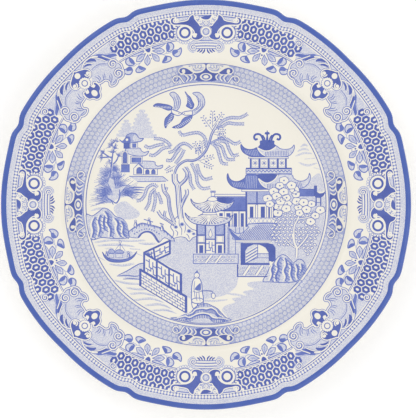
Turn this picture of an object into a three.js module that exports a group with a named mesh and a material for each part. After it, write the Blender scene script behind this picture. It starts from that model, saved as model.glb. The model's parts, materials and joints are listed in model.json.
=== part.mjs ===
// Dinner plate of blue-printed china with a scalloped rim.
// Millimetres, +Z up. The origin is the centre of the foot ring, on the table.
//
// A plate is one piece of fired clay. What else it is made of are coats laid on that clay one after
// another: four blue transfer prints, a banded rim line, and the glaze, which the unglazed tread of
// the foot ring parts into an outer coat and a disc inside the foot. Each is its own solid here.

import * as THREE from 'three';

// Rim outline of the glazed plate. It repeats every 90 degrees: a wide lobe centred on each axis, a
// narrow lobe centred on each diagonal, and an ogee notch between them.
const RIM_RADIUS = 133;
const WIDE_LOBE_RADIUS = 132.75;
const NARROW_LOBE_RADIUS = 132.1;
const SHOULDER_RADIUS = 134.35;
const NOTCH_ANGLE = 23;
const NOTCH_DEPTH = 2.1;
const NOTCH_WIDTH = 2;
const WIDE_LOBE_EASE = 6.5;
const NARROW_LOBE_EASE = 1.25;

// Angles, in degrees from the middle of a wide lobe, where an eighth of the rim has a vertex.
const EIGHTH = 45;
const ANGLE_STOPS = [0, 10, 17, 20.5, 22, 23, 24.5, 29, 37, EIGHTH];
const STEPS_PER_EIGHTH = ANGLE_STOPS.length - 1;
const SEGMENTS = 8 * STEPS_PER_EIGHTH;

// Face of the clay body: a flat well, a curved shoulder and a sloping flange.
const WELL_HEIGHT = 6.7;
const WELL_RADIUS = 78.6;
const FLANGE_START_RADIUS = 96;
const FLANGE_START_HEIGHT = 17.6;
const FLANGE_SLOPE = 0.17;
const SHOULDER_WIDTH = FLANGE_START_RADIUS - WELL_RADIUS;

// The scallops fade out between these two radii, going in from the rim.
const SCALLOP_START_RADIUS = FLANGE_START_RADIUS;
const SCALLOP_FULL_RADIUS = 123;

// Foot ring, with a flat unglazed tread.
const FOOT_OUTER_RADIUS = 75.2;
const FOOT_INNER_RADIUS = 71.4;
const FOOT_FLARE = 2;
const FOOT_DEPTH = 2.3;

// Coats. Each lies a hair clear of the one below it.
const COAT_GAP = 0.08;
const PRINT_THICKNESS = 0.1;
const GLAZE_THICKNESS = 0.4;
const PRINT_OUTSIDE = COAT_GAP + PRINT_THICKNESS;
const GLAZE_INSIDE = PRINT_OUTSIDE + COAT_GAP;
const GLAZE_OUTSIDE = GLAZE_INSIDE + GLAZE_THICKNESS;
const GLAZE_STOP_HEIGHT = 0.8;

// Wall and half-round lip of the clay. The glaze brings the lip out to the rim outline.
const WALL = 4.2;
const LIP_THICKNESS = 3.2;
const LIP_RADIUS = LIP_THICKNESS / 2;
const LIP_TILT = LIP_RADIUS * FLANGE_SLOPE;
const LIP_START_RADIUS = RIM_RADIUS - GLAZE_OUTSIDE - LIP_RADIUS - LIP_TILT;
const LIP_POINT_ANGLES = [55, 0, -55];

// Radii of the prints, with a bare hairline between neighbours. The clay and the glaze have rings
// of vertices at the same radii on the curved shoulder, so that the coats lie parallel there.
const CENTRE_PRINT = [0, WELL_RADIUS];
const SHOULDER_PRINT = [79.5, 83, 87.5, 91.8];
const BORDER_PRINT = [FLANGE_START_RADIUS, SCALLOP_FULL_RADIUS];
const EDGE_PRINT = [SCALLOP_FULL_RADIUS + 0.4, 128.8];
const RIM_LINE = [129.2, LIP_START_RADIUS];

const COLOURS = {
  clay: { color: 0xe6ddcd, roughness: 0.85 },
  glaze: { color: 0xf1ede2, roughness: 0.12 },
  print: { color: 0x6f7fb6, roughness: 0.15 },
  palePrint: { color: 0xb9bed3, roughness: 0.15 },
  rimBlue: { color: 0x556bb3, roughness: 0.15 },
};

// Rim radius at an angle in degrees, folded back to the eighth that starts on a wide lobe's middle.
function rimRadius(degrees) {
  const quarterTurn = ((degrees % 90) + 90) % 90;
  const folded = Math.min(quarterTurn, 90 - quarterTurn);
  const pastNotch = folded - NOTCH_ANGLE;
  const notch = NOTCH_DEPTH * Math.exp(-((pastNotch / NOTCH_WIDTH) ** 2));
  if (pastNotch < 0) {
    const wideBlend = Math.exp(-((pastNotch / WIDE_LOBE_EASE) ** 2));
    return THREE.MathUtils.lerp(WIDE_LOBE_RADIUS, SHOULDER_RADIUS, wideBlend) - notch;
  }
  const narrowBlend = (1 - pastNotch / (EIGHTH - NOTCH_ANGLE)) ** NARROW_LOBE_EASE;
  return THREE.MathUtils.lerp(NARROW_LOBE_RADIUS, SHOULDER_RADIUS, narrowBlend) - notch;
}

// Height of the clay face at a radius: flat, then one cubic curve, then a straight slope.
function faceHeight(radius) {
  if (radius >= FLANGE_START_RADIUS) {
    return FLANGE_START_HEIGHT + FLANGE_SLOPE * (radius - FLANGE_START_RADIUS);
  }
  const t = Math.max(0, (radius - WELL_RADIUS) / SHOULDER_WIDTH);
  const rise = (3 - 2 * t) * t * t * (FLANGE_START_HEIGHT - WELL_HEIGHT);
  const easeIntoSlope = (t - 1) * t * t * SHOULDER_WIDTH * FLANGE_SLOPE;
  return WELL_HEIGHT + rise + easeIntoSlope;
}

// Unit normal of the face at a radius, pointing up and inwards.
function faceNormal(radius) {
  const step = 0.1;
  const slope = (faceHeight(radius + step) - faceHeight(radius - step)) / (2 * step);
  return new THREE.Vector2(-slope, 1).normalize();
}

// Point of the face moved along its normal: up for a coat, down for the back of the wall.
function faceOffset(radius, distance) {
  const point = new THREE.Vector2(radius, faceHeight(radius));
  const onAxis = radius === 0;
  const normal = onAxis ? new THREE.Vector2(0, 1) : faceNormal(radius);
  return point.addScaledVector(normal, distance);
}

const FACE_STOPS = [...CENTRE_PRINT, ...SHOULDER_PRINT, ...BORDER_PRINT, LIP_START_RADIUS];
const BACK_STOPS = [...SHOULDER_PRINT.slice(1), ...BORDER_PRINT].reverse();

// Wall thickness: full as far as the flange's start, then down to the lip's.
function wallAt(radius) {
  const along = (radius - FLANGE_START_RADIUS) / (LIP_START_RADIUS - FLANGE_START_RADIUS);
  return THREE.MathUtils.lerp(WALL, LIP_THICKNESS, THREE.MathUtils.clamp(along, 0, 1));
}

// Half-round lip, from the end of the face to the start of the back, grown by a coat's distance.
function lipPoints(distance) {
  const centre = faceOffset(LIP_START_RADIUS, -LIP_RADIUS);
  return LIP_POINT_ANGLES.map((degrees) => {
    const turn = THREE.MathUtils.degToRad(degrees);
    const reach = LIP_RADIUS + distance;
    return new THREE.Vector2(centre.x + reach * Math.cos(turn), centre.y + reach * Math.sin(turn));
  });
}

// The outside of the plate from the middle of the well, over the lip, to the foot's outer wall.
function outsidePoints(distance, footHeight) {
  const face = FACE_STOPS.map((radius) => faceOffset(radius, distance));
  const back = BACK_STOPS.map((radius) => faceOffset(radius, -wallAt(radius) - distance));
  const footWall = [
    new THREE.Vector2(FOOT_OUTER_RADIUS + FOOT_FLARE + distance, FOOT_DEPTH - distance),
    new THREE.Vector2(FOOT_OUTER_RADIUS + FOOT_FLARE * (footHeight / FOOT_DEPTH) + distance, footHeight),
  ];
  return [...face, ...lipPoints(distance), ...back, ...footWall];
}

// How far a point follows the scalloped rim: not at all in the well, wholly near the rim.
function scallopShare(radius) {
  const along = (radius - SCALLOP_START_RADIUS) / (SCALLOP_FULL_RADIUS - SCALLOP_START_RADIUS);
  return THREE.MathUtils.clamp(along, 0, 1);
}

// Turns a profile about +Z, then moves its vertices to the angle stops and out to the scallops.
// The profile runs anticlockwise, seen with the radius to the right and the height up.
function turnedGeometry(profile) {
  const geometry = new THREE.LatheGeometry(profile, SEGMENTS);
  geometry.rotateX(Math.PI / 2);
  const position = geometry.getAttribute('position');
  for (let i = 0; i < position.count; i += 1) {
    const step = Math.floor(i / profile.length) % SEGMENTS;
    const radius = profile[i % profile.length].x;
    const eighth = Math.floor(step / STEPS_PER_EIGHTH);
    const stop = step % STEPS_PER_EIGHTH;
    const mirrored = eighth % 2 === 1;
    const local = mirrored ? EIGHTH - ANGLE_STOPS[STEPS_PER_EIGHTH - stop] : ANGLE_STOPS[stop];
    const degrees = eighth * EIGHTH + local;
    const reach = radius + scallopShare(radius) * (rimRadius(degrees) - RIM_RADIUS);
    const turn = THREE.MathUtils.degToRad(degrees);
    position.setXY(i, reach * Math.cos(turn), reach * Math.sin(turn));
  }
  geometry.deleteAttribute('normal');
  geometry.deleteAttribute('uv');
  return geometry;
}

// A closed sheet between two faces, given in the same direction; a sheet that reaches the axis on
// one end only needs no edge there.
function sheetProfile(inside, outside) {
  const start = outside[0];
  const closing = start.x === 0 ? [] : [start.clone()];
  return [...outside, ...inside.slice().reverse(), ...closing];
}

// A print laid on the face between the first and last of its radii.
function printProfile(radii) {
  const inside = radii.map((radius) => faceOffset(radius, COAT_GAP));
  const outside = radii.map((radius) => faceOffset(radius, PRINT_OUTSIDE));
  return sheetProfile(inside, outside);
}

function bodyProfile() {
  const foot = [
    new THREE.Vector2(FOOT_INNER_RADIUS, 0),
    new THREE.Vector2(FOOT_INNER_RADIUS - FOOT_FLARE, FOOT_DEPTH),
    new THREE.Vector2(0, FOOT_DEPTH),
  ];
  return [...outsidePoints(0, 0), ...foot];
}

function glazeCoatProfile() {
  const inside = outsidePoints(GLAZE_INSIDE, GLAZE_STOP_HEIGHT);
  const outside = outsidePoints(GLAZE_OUTSIDE, GLAZE_STOP_HEIGHT);
  return sheetProfile(inside, outside);
}

function glazeRecessProfile() {
  const edge = FOOT_INNER_RADIUS - FOOT_FLARE - GLAZE_OUTSIDE;
  const top = FOOT_DEPTH - COAT_GAP;
  return [
    new THREE.Vector2(0, top),
    new THREE.Vector2(edge, top),
    new THREE.Vector2(edge, top - GLAZE_THICKNESS),
    new THREE.Vector2(0, top - GLAZE_THICKNESS),
  ];
}

const plate = new THREE.Group();

function addPiece(name, profile, finish) {
  // LatheGeometry faces outwards when its profile climbs, so the outline is handed over upside down.
  const geometry = turnedGeometry(profile.slice().reverse());
  const mesh = new THREE.Mesh(geometry, new THREE.MeshStandardMaterial({ ...finish, metalness: 0 }));
  mesh.name = name;
  plate.add(mesh);
}

addPiece('bisque_body', bodyProfile(), COLOURS.clay);
addPiece('centre_print', printProfile(CENTRE_PRINT), COLOURS.print);
addPiece('shoulder_print', printProfile(SHOULDER_PRINT), COLOURS.print);
addPiece('border_print', printProfile(BORDER_PRINT), COLOURS.print);
addPiece('edge_print', printProfile(EDGE_PRINT), COLOURS.palePrint);
addPiece('rim_line', printProfile(RIM_LINE), COLOURS.rimBlue);
addPiece('glaze_coat', glazeCoatProfile(), COLOURS.glaze);
addPiece('glaze_recess', glazeRecessProfile(), COLOURS.glaze);

export default plate;
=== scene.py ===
import bpy
import json
import math
import numpy as np
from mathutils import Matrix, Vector
from mathutils.geometry import tessellate_polygon


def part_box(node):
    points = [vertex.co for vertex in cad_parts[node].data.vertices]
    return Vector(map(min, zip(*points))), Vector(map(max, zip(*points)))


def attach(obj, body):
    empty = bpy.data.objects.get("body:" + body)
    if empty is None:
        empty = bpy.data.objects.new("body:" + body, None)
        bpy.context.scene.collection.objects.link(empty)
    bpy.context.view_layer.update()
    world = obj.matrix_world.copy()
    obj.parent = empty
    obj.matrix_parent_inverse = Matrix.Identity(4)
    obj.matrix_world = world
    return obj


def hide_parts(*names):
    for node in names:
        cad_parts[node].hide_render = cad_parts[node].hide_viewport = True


# A blue-printed china dinner plate with a scalloped rim, seen from straight above.
# Everything below is worked out in millimetres and handed to Blender in metres.

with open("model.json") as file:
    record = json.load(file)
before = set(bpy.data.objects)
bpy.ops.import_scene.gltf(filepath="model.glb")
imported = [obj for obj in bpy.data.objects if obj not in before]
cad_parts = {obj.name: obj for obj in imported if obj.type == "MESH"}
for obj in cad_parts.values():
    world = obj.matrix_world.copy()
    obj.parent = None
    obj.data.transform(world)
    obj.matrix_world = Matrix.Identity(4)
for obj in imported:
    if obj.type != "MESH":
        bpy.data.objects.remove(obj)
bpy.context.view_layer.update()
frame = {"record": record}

MM = 0.001


# ---------------------------------------------------------------- sizes from the frame

def node_box(node):
    """A CAD node's lowest and highest corners, in millimetres."""
    low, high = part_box(node)
    return [v / MM for v in low], [v / MM for v in high]


def half_width(node):
    """How far a CAD node reaches along +X, in millimetres."""
    return node_box(node)[1][0]


mounts = {mount["name"]: mount for mount in frame["record"]["mounts"]}
WELL_TOP = mounts["well"]["pos_m"][2] / MM
WELL_RADIUS = half_width("centre_print")
AXIS_RADIUS = half_width("glaze_coat")
PLATE_TOP = node_box("glaze_coat")[1][2]

# ---------------------------------------------------------------- the plate's shape

# The rim has a wide lobe on each axis and a narrow one on each diagonal, with a notch between them.
# Both rise to SHOULDER_RADIUS beside a notch. NOTCH_WIDTH and WIDE_LOBE_EASE are in degrees.
RIM_RADIUS = AXIS_RADIUS + 0.25
WIDE_LOBE_RADIUS = AXIS_RADIUS
NARROW_LOBE_RADIUS = AXIS_RADIUS - 0.65
SHOULDER_RADIUS = AXIS_RADIUS + 1.6
NOTCH_ANGLE = 23
NOTCH_DEPTH = 2.1
NOTCH_WIDTH = 2
WIDE_LOBE_EASE = 6.5
NARROW_LOBE_EASE = 1.25
EIGHTH = 45

# The face and the wall under it. From SCALLOP_FULL outward, every ring follows the rim outline in full.
FLANGE_START = 96
FLANGE_SLOPE = 0.17
SHOULDER_RISE = 10.9
SCALLOP_FULL = 123
LIP_RADIUS = 2.2
LIP_START = RIM_RADIUS - LIP_RADIUS * (1 + FLANGE_SLOPE)
WALL = 5.4
LIP_WALL = 2 * LIP_RADIUS

# The foot ring, and where the back starts beside it.
FOOT_OUTER = 75.2
FOOT_INNER = 71.4
FOOT_FLARE = 2
FOOT_LEAN = 0.4
FOOT_ROOT = 1
FOOT_DEPTH = 2.3
BACK_START = 84

# The glaze: its thickness, the share of it that the skin fills, how high above the table it stops,
# and the gaps over and round the glaze inside the foot ring.
GLAZE = 0.4
GLAZE_KEPT = 0.9
GLAZE_STOP = 0.8
RECESS_GAP = 0.08
RECESS_INSET = 0.66

# How far apart the points of a profile are, and how many times a profile is repeated in its turn.
WELL_STEP = 8
SHOULDER_STEP = 0.8
FLANGE_STEP = 4
FOOT_STEPS = 4
CLAY_SEGMENTS = 240
GLAZE_SEGMENTS = 480
RIM_SEGMENTS = 720
ON_AXIS = 1e-6


def rim_radius(degrees):
    """Radius of the scalloped rim at angles in degrees, measured from any axis."""
    folded = np.mod(degrees, 2 * EIGHTH)
    folded = np.minimum(folded, 2 * EIGHTH - folded)
    past = folded - NOTCH_ANGLE
    notch = NOTCH_DEPTH * np.exp(-((past / NOTCH_WIDTH) ** 2))
    near = np.exp(-((past / WIDE_LOBE_EASE) ** 2))
    wide = WIDE_LOBE_RADIUS + (SHOULDER_RADIUS - WIDE_LOBE_RADIUS) * near
    along = np.clip(1 - past / (EIGHTH - NOTCH_ANGLE), 0, 1)
    narrow = NARROW_LOBE_RADIUS + (SHOULDER_RADIUS - NARROW_LOBE_RADIUS) * along ** NARROW_LOBE_EASE
    return np.where(past < 0, wide, narrow) - notch


def scallop_share(radius):
    """How far a ring of the plate follows the scallops: 0 in the well, 1 near the rim."""
    return np.clip((radius - FLANGE_START) / (SCALLOP_FULL - FLANGE_START), 0, 1)


def reach(radius, degrees):
    """Distance from the axis of the plate's ring of that radius, in the direction given."""
    return radius + scallop_share(radius) * (rim_radius(degrees) - RIM_RADIUS)


def ring_through(distance, degrees):
    """The radius of the ring that passes at that distance from the axis: the inverse of reach."""
    delta = rim_radius(degrees) - RIM_RADIUS
    inner = FLANGE_START + (distance - FLANGE_START) / (1 + delta / (SCALLOP_FULL - FLANGE_START))
    outer = distance - delta
    ring = np.where(outer > SCALLOP_FULL, outer, inner)
    return np.where(distance < FLANGE_START, distance, ring)


def face_height(radius):
    """Height of the glazed face: a flat well, one cubic curve up the shoulder, a straight flange."""
    width = FLANGE_START - WELL_RADIUS
    t = np.clip((radius - WELL_RADIUS) / width, 0, 1)
    rise = (3 - 2 * t) * t * t * SHOULDER_RISE
    ease_into_slope = (t - 1) * t * t * width * FLANGE_SLOPE
    slope = np.maximum(radius - FLANGE_START, 0) * FLANGE_SLOPE
    return WELL_TOP + rise + ease_into_slope + slope


def face_slope(radius):
    """Rise of the glazed face per millimetre outward."""
    step = 0.05
    return (face_height(radius + step) - face_height(radius - step)) / (2 * step)


# ---------------------------------------------------------------- meshes

def new_piece(name, verts, faces, materials, indices=None):
    """A mesh object from points in millimetres, riding on the plate's one body."""
    mesh = bpy.data.meshes.new(name)
    mesh.from_pydata((np.asarray(verts) * MM).tolist(), [], faces)
    for material in materials:
        mesh.materials.append(material)
    if indices is not None:
        mesh.polygons.foreach_set("material_index", indices)
    mesh.shade_smooth()
    mesh.update()
    piece = bpy.data.objects.new(name, mesh)
    bpy.context.collection.objects.link(piece)
    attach(piece, "root")
    return piece


def offset_point(radius, distance):
    """A face point moved along the face's normal, as (radius, height)."""
    slope = float(face_slope(radius))
    length = math.hypot(1, slope)
    return radius - slope / length * distance, float(face_height(radius)) + distance / length


def wall_at(radius):
    """Thickness of the plate, which changes evenly along the flange."""
    along = min(max((radius - FLANGE_START) / (LIP_START - FLANGE_START), 0), 1)
    return WALL + (LIP_WALL - WALL) * along


def face_radii(first, last, step):
    """Radii from first to last, spaced evenly and about a step apart."""
    count = max(1, round((last - first) / step))
    return [first + (last - first) * i / count for i in range(count + 1)]


def lip_points(grow, last=-90, steps=12):
    """The half-round lip from the face round to the angle last, as (radius, height)."""
    tilt = math.degrees(math.atan(FLANGE_SLOPE))
    centre_radius, centre_height = offset_point(LIP_START, -LIP_RADIUS)
    points = []
    for i in range(steps + 1):
        turn = math.radians(tilt + 90 + (last - 90) * i / steps)
        size = LIP_RADIUS + grow
        points.append((centre_radius + size * math.cos(turn), centre_height + size * math.sin(turn)))
    return points


def outside_profile(grow, foot_height):
    """The plate's outside from the middle of the well over the lip to the foot, as (radius, height)."""
    stops = face_radii(0, WELL_RADIUS, WELL_STEP)[:-1]
    stops += face_radii(WELL_RADIUS, FLANGE_START, SHOULDER_STEP)[:-1]
    stops += face_radii(FLANGE_START, LIP_START, FLANGE_STEP)[:-1]
    face = [offset_point(radius, grow) for radius in stops]
    back = [offset_point(radius, -wall_at(radius) - grow) for radius in (FLANGE_START, BACK_START)]
    root = (FOOT_OUTER + FOOT_FLARE + FOOT_ROOT + grow, FOOT_DEPTH - grow)
    wall = []
    for i in range(FOOT_STEPS + 1):
        drop = i / FOOT_STEPS
        height = root[1] + (foot_height - root[1]) * drop
        flare = FOOT_FLARE * math.cos(drop * math.pi / 2) ** 2
        wall.append((FOOT_OUTER + flare + grow + FOOT_LEAN * (1 - drop), height))
    return face + lip_points(grow) + back + [root] + wall


def turn_profile(profile, segments):
    """Vertices and faces of a profile turned about the axis and moved out to the scallops."""
    degrees = np.arange(segments) * 360 / segments
    turn = np.radians(degrees)
    verts = []
    rings = []
    for radius, height in profile:
        if radius < ON_AXIS:
            rings.append([len(verts)] * segments)
            verts.append((0, 0, height))
            continue
        distance = reach(radius, degrees)
        rings.append(list(range(len(verts), len(verts) + segments)))
        verts += zip(distance * np.cos(turn), distance * np.sin(turn), [height] * segments)
    faces = []
    for inner, outer in zip(rings, rings[1:]):
        for i in range(segments):
            j = (i + 1) % segments
            quad = [inner[i], outer[i], outer[j], inner[j]]
            if inner[i] == inner[j]:
                quad = quad[:3]
            elif outer[i] == outer[j]:
                quad = [inner[i], outer[i], inner[j]]
            faces.append(quad)
    return verts, faces


# ---------------------------------------------------------------- materials

def srgb(red, green, blue):
    """A colour written as 0 to 255 screen values, as the linear numbers a shader takes."""
    values = []
    for value in (red, green, blue):
        c = value / 255
        values.append(c / 12.92 if c <= 0.04045 else ((c + 0.055) / 1.055) ** 2.4)
    return (*values, 1)


class Nodes:
    """A material's node tree, with the few calls that the materials here need."""

    def __init__(self, name, roughness, coat=0.0):
        self.material = bpy.data.materials.new(name)
        self.material.use_nodes = True
        self.tree = self.material.node_tree
        self.shader = self.tree.nodes["Principled BSDF"]
        self.shader.inputs["Roughness"].default_value = roughness
        self.shader.inputs["Coat Weight"].default_value = coat
        self.shader.inputs["Coat Roughness"].default_value = 0.04
        self.place = self.tree.nodes.new("ShaderNodeTexCoord").outputs["Object"]

    def link(self, source, target):
        """Joins an output to an input."""
        self.tree.links.new(source, target)

    def noise(self, per_mm, detail=3.0, roughness=0.5):
        """Cloudy noise from 0 to 1, with per_mm blotches to the millimetre."""
        node = self.tree.nodes.new("ShaderNodeTexNoise")
        node.inputs["Scale"].default_value = per_mm / MM
        node.inputs["Detail"].default_value = detail
        node.inputs["Roughness"].default_value = roughness
        self.link(self.place, node.inputs["Vector"])
        return node.outputs["Fac"]

    def dots(self, per_mm):
        """Distance to the nearest of scattered points, with per_mm points to the millimetre."""
        node = self.tree.nodes.new("ShaderNodeTexVoronoi")
        node.inputs["Scale"].default_value = per_mm / MM
        self.link(self.place, node.inputs["Vector"])
        return node.outputs["Distance"]

    def ramp(self, source, *stops):
        """Colours that blend as the source rises. Each stop is a position and a colour."""
        node = self.tree.nodes.new("ShaderNodeValToRGB")
        elements = node.color_ramp.elements
        while len(elements) < len(stops):
            elements.new(1)
        for element, (position, colour) in zip(elements, stops):
            element.position = position
            element.color = colour
        self.link(source, node.inputs["Fac"])
        return node.outputs["Color"]

    def mix(self, share, first, second):
        """The first colour where share is 0, and the second where it is 1."""
        node = self.tree.nodes.new("ShaderNodeMix")
        node.data_type = "RGBA"
        self.link(share, node.inputs["Factor"])
        for value, socket in ((first, node.inputs["A"]), (second, node.inputs["B"])):
            if isinstance(value, tuple):
                socket.default_value = value
            else:
                self.link(value, socket)
        return node.outputs["Result"]

    def math(self, operation, first, second):
        """A sum or product of two values, each a number or an output."""
        node = self.tree.nodes.new("ShaderNodeMath")
        node.operation = operation
        for value, socket in ((first, node.inputs[0]), (second, node.inputs[1])):
            if isinstance(value, (int, float)):
                socket.default_value = value
            else:
                self.link(value, socket)
        return node.outputs[0]

    def span(self, source, low, high):
        """The 0 to 1 source stretched to run from low to high."""
        return self.math("ADD", self.math("MULTIPLY", source, high - low), low)

    def colour(self, source):
        """Sets the surface's colour."""
        self.link(source, self.shader.inputs["Base Color"])

    def rough(self, source):
        """Sets how matt the surface is."""
        self.link(source, self.shader.inputs["Roughness"])

    def bump(self, source, height):
        """Raises the surface's shading by up to height, in millimetres."""
        node = self.tree.nodes.new("ShaderNodeBump")
        node.inputs["Distance"].default_value = height * MM
        self.link(source, node.inputs["Height"])
        self.link(node.outputs["Normal"], self.shader.inputs["Normal"])


CREAM = srgb(243, 239, 228)
CREAM_WARM = srgb(238, 233, 220)
INK = srgb(86, 104, 180)
INK_THIN = srgb(112, 128, 196)
INK_DEEP = srgb(66, 84, 164)
CREAM_SPECK = srgb(214, 206, 190)
CLAY_DARK = srgb(214, 203, 184)
CLAY_LIGHT = srgb(233, 225, 209)
BLACK = (0, 0, 0, 1)
WHITE = (1, 1, 1, 1)


def glaze_surface(name):
    """The wet-looking surface every glazed piece shares: clear, glossy, very slightly uneven."""
    nodes = Nodes(name, roughness=0.16, coat=0.35)
    nodes.rough(nodes.span(nodes.noise(0.35), 0.1, 0.24))
    nodes.bump(nodes.noise(0.22, detail=1), 0.02)
    return nodes


def cream_glaze():
    """Clear glaze over cream clay, slightly clouded, with a few faint specks."""
    nodes = glaze_surface("cream_glaze")
    cloud = nodes.noise(0.03)
    fine = nodes.noise(1.7)
    body = nodes.mix(cloud, CREAM, CREAM_WARM)
    speck = nodes.ramp(fine, (0.72, BLACK), (0.8, WHITE))
    nodes.colour(nodes.mix(speck, body, CREAM_SPECK))
    return nodes.material


def bare_clay():
    """The fired clay where no glaze covers it: matt and grainy."""
    nodes = Nodes("bare_clay", roughness=0.85)
    grain = nodes.noise(3.5, detail=6, roughness=0.65)
    nodes.colour(nodes.ramp(grain, (0.3, CLAY_DARK), (0.7, CLAY_LIGHT)))
    nodes.rough(nodes.span(grain, 0.75, 0.95))
    nodes.bump(grain, 0.12)
    return nodes.material


def ink_material(name, full, thin):
    """Printed blue: a little stronger and weaker from place to place, as a transfer takes."""
    nodes = glaze_surface(name)
    grain = nodes.noise(2.2, detail=2)
    drift = nodes.noise(0.12, detail=2)
    share = nodes.math("MULTIPLY", nodes.math("ADD", grain, drift), 0.5)
    nodes.colour(nodes.ramp(share, (0.38, full), (0.62, thin)))
    return nodes.material


def stipple_material(name, dots_per_mm, strong, weak):
    """A printed tint: fine engraved dots of blue on cream."""
    nodes = glaze_surface(name)
    size = nodes.dots(dots_per_mm)
    drift = nodes.noise(0.15, detail=2)
    level = nodes.math("ADD", size, nodes.span(drift, -0.12, 0.12))
    nodes.colour(nodes.ramp(level, (0.25, strong), (0.6, weak)))
    return nodes.material


GLAZE_CREAM = cream_glaze()
BARE_CLAY = bare_clay()
LINE = ink_material("ink_line", INK, INK_THIN)
DEEP = ink_material("ink_deep", INK_DEEP, INK)
RIM_BLUE = ink_material("rim_blue", srgb(57, 86, 169), srgb(67, 96, 177))
WASH = stipple_material("ink_wash", 2.2, srgb(126, 139, 196), srgb(182, 188, 218))
TONE = stipple_material("ink_tone", 2.0, srgb(176, 181, 211), srgb(221, 221, 226))


# ---------------------------------------------------------------- the plate

def build_plate():
    """The clay body, the glaze over it, and the glaze inside the foot ring."""
    body_profile = outside_profile(-GLAZE, 0)
    body_profile += [(FOOT_INNER, 0), (FOOT_INNER - FOOT_FLARE, FOOT_DEPTH), (0, FOOT_DEPTH)]
    verts, faces = turn_profile(body_profile, CLAY_SEGMENTS)
    body = new_piece("clay_body", verts, faces, [BARE_CLAY])
    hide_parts("bisque_body")

    outside = outside_profile(0, GLAZE_STOP)
    inside = outside_profile(-GLAZE * GLAZE_KEPT, GLAZE_STOP)
    verts, faces = turn_profile(outside + inside[::-1], GLAZE_SEGMENTS)
    coat = new_piece("glazed_skin", verts, faces, [GLAZE_CREAM])
    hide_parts("glaze_coat")

    top = FOOT_DEPTH - RECESS_GAP
    edge = FOOT_INNER - FOOT_FLARE - RECESS_INSET
    recess_profile = [(0, top), (edge, top), (edge, top - GLAZE), (0, top - GLAZE)]
    verts, faces = turn_profile(recess_profile, CLAY_SEGMENTS)
    recess = new_piece("glazed_recess", verts, faces, [GLAZE_CREAM])
    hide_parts("glaze_recess")


build_plate()

# ---------------------------------------------------------------- drawing the prints

# Inks, from the lowest laid to the highest within one level of a print.
CREAM_INK, TONE_INK, WASH_INK, LINE_INK, DEEP_INK = range(5)
INK_MATERIALS = [GLAZE_CREAM, TONE, WASH, LINE, DEEP]

# How far ink stands above the glaze. Each level, each darker ink and each shape in a run of
# SHAPES_APART adds to it, so that no two shapes lie in one plane.
FIRST_LIFT = 0.03
LEVEL_LIFT = 0.035
INK_LIFT = 0.007
SHAPE_LIFT = 0.0008
SHAPES_APART = 8

# How far the curved glaze may bow away from an edge before the edge is cut in two.
MAX_BOW = 0.01

# How much wider than the line a sharp corner may get, and how a volute winds in.
MITRE_LIMIT = 1.8
VOLUTE_STEPS = 12
VOLUTE_SHRINK = 0.8

# Ways to lay a motif, as rows of 2 by 2 matrices: once, on all four axes, and on both sides of them.
AS_DRAWN = ((1, 0, 0, 1),)
ON_AXES = ((1, 0, 0, 1), (0, 1, -1, 0), (-1, 0, 0, -1), (0, -1, 1, 0))
BOTH_SIDES = ON_AXES + tuple((-a, b, -c, d) for a, b, c, d in ON_AXES)


def plane(angle, radius):
    """A point given clockwise from the top, in degrees, and from the axis."""
    turn = math.radians(angle)
    return radius * math.sin(turn), radius * math.cos(turn)


def planes(points):
    """Points given clockwise from the top, in degrees, and from the axis."""
    return [plane(angle, radius) for angle, radius in points]


def smooth(points, closed=False, steps=4):
    """A soft curve through the points."""
    count = len(points)
    if count < 3:
        return list(points)
    last = count if closed else count - 1
    curve = []
    for i in range(last):
        corners = []
        for j in (i - 1, i, i + 1, i + 2):
            corners.append(points[j % count] if closed else points[min(max(j, 0), count - 1)])
        p, q, r, s = corners
        for k in range(steps):
            t = k / steps
            weights = (-t + 2 * t * t - t ** 3, 2 - 5 * t * t + 3 * t ** 3,
                       t + 4 * t * t - 3 * t ** 3, t ** 3 - t * t)
            x = sum(w * c[0] for w, c in zip(weights, (p, q, r, s))) / 2
            y = sum(w * c[1] for w, c in zip(weights, (p, q, r, s))) / 2
            curve.append((x, y))
    return curve if closed else curve + [points[-1]]


def circle(centre, radius, sides=16, squash=1.0, tilt=0.0):
    """Points of a circle, or of an oval whose second radius is squash times the first."""
    turn = math.radians(tilt)
    points = []
    for i in range(sides):
        a = 2 * math.pi * i / sides
        u, v = radius * math.cos(a), radius * squash * math.sin(a)
        points.append((centre[0] + u * math.cos(turn) - v * math.sin(turn),
                       centre[1] + u * math.sin(turn) + v * math.cos(turn)))
    return points


def area(points):
    """The area inside an outline, which is negative if the outline runs clockwise."""
    total = 0
    for (x, y), (u, v) in zip(points, points[1:] + points[:1]):
        total += x * v - u * y
    return total / 2


def glaze_height(points):
    """Height of the glazed face under points given as an array of x and y."""
    distance = np.hypot(points[..., 0], points[..., 1])
    degrees = np.degrees(np.arctan2(points[..., 1], points[..., 0]))
    return face_height(ring_through(distance, degrees))


def mirrored(points, middle=0):
    """A closed outline from its half on one side of an angle; the first and last points are on it."""
    return points + [(2 * middle - angle, radius) for angle, radius in points[-2:0:-1]]


def between(start, end, share):
    """The point at that share of the way from start to end."""
    return start[0] + (end[0] - start[0]) * share, start[1] + (end[1] - start[1]) * share


def moved(points, right, up):
    """The same points further right and further up."""
    return [(x + right, y + up) for x, y in points]


def in_panel(corners, points):
    """Points of the unit square laid in a panel. corners run anticlockwise from lower left."""
    laid = []
    for u, v in points:
        low, high = between(corners[0], corners[1], u), between(corners[3], corners[2], u)
        laid.append(between(low, high, v))
    return laid


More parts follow.
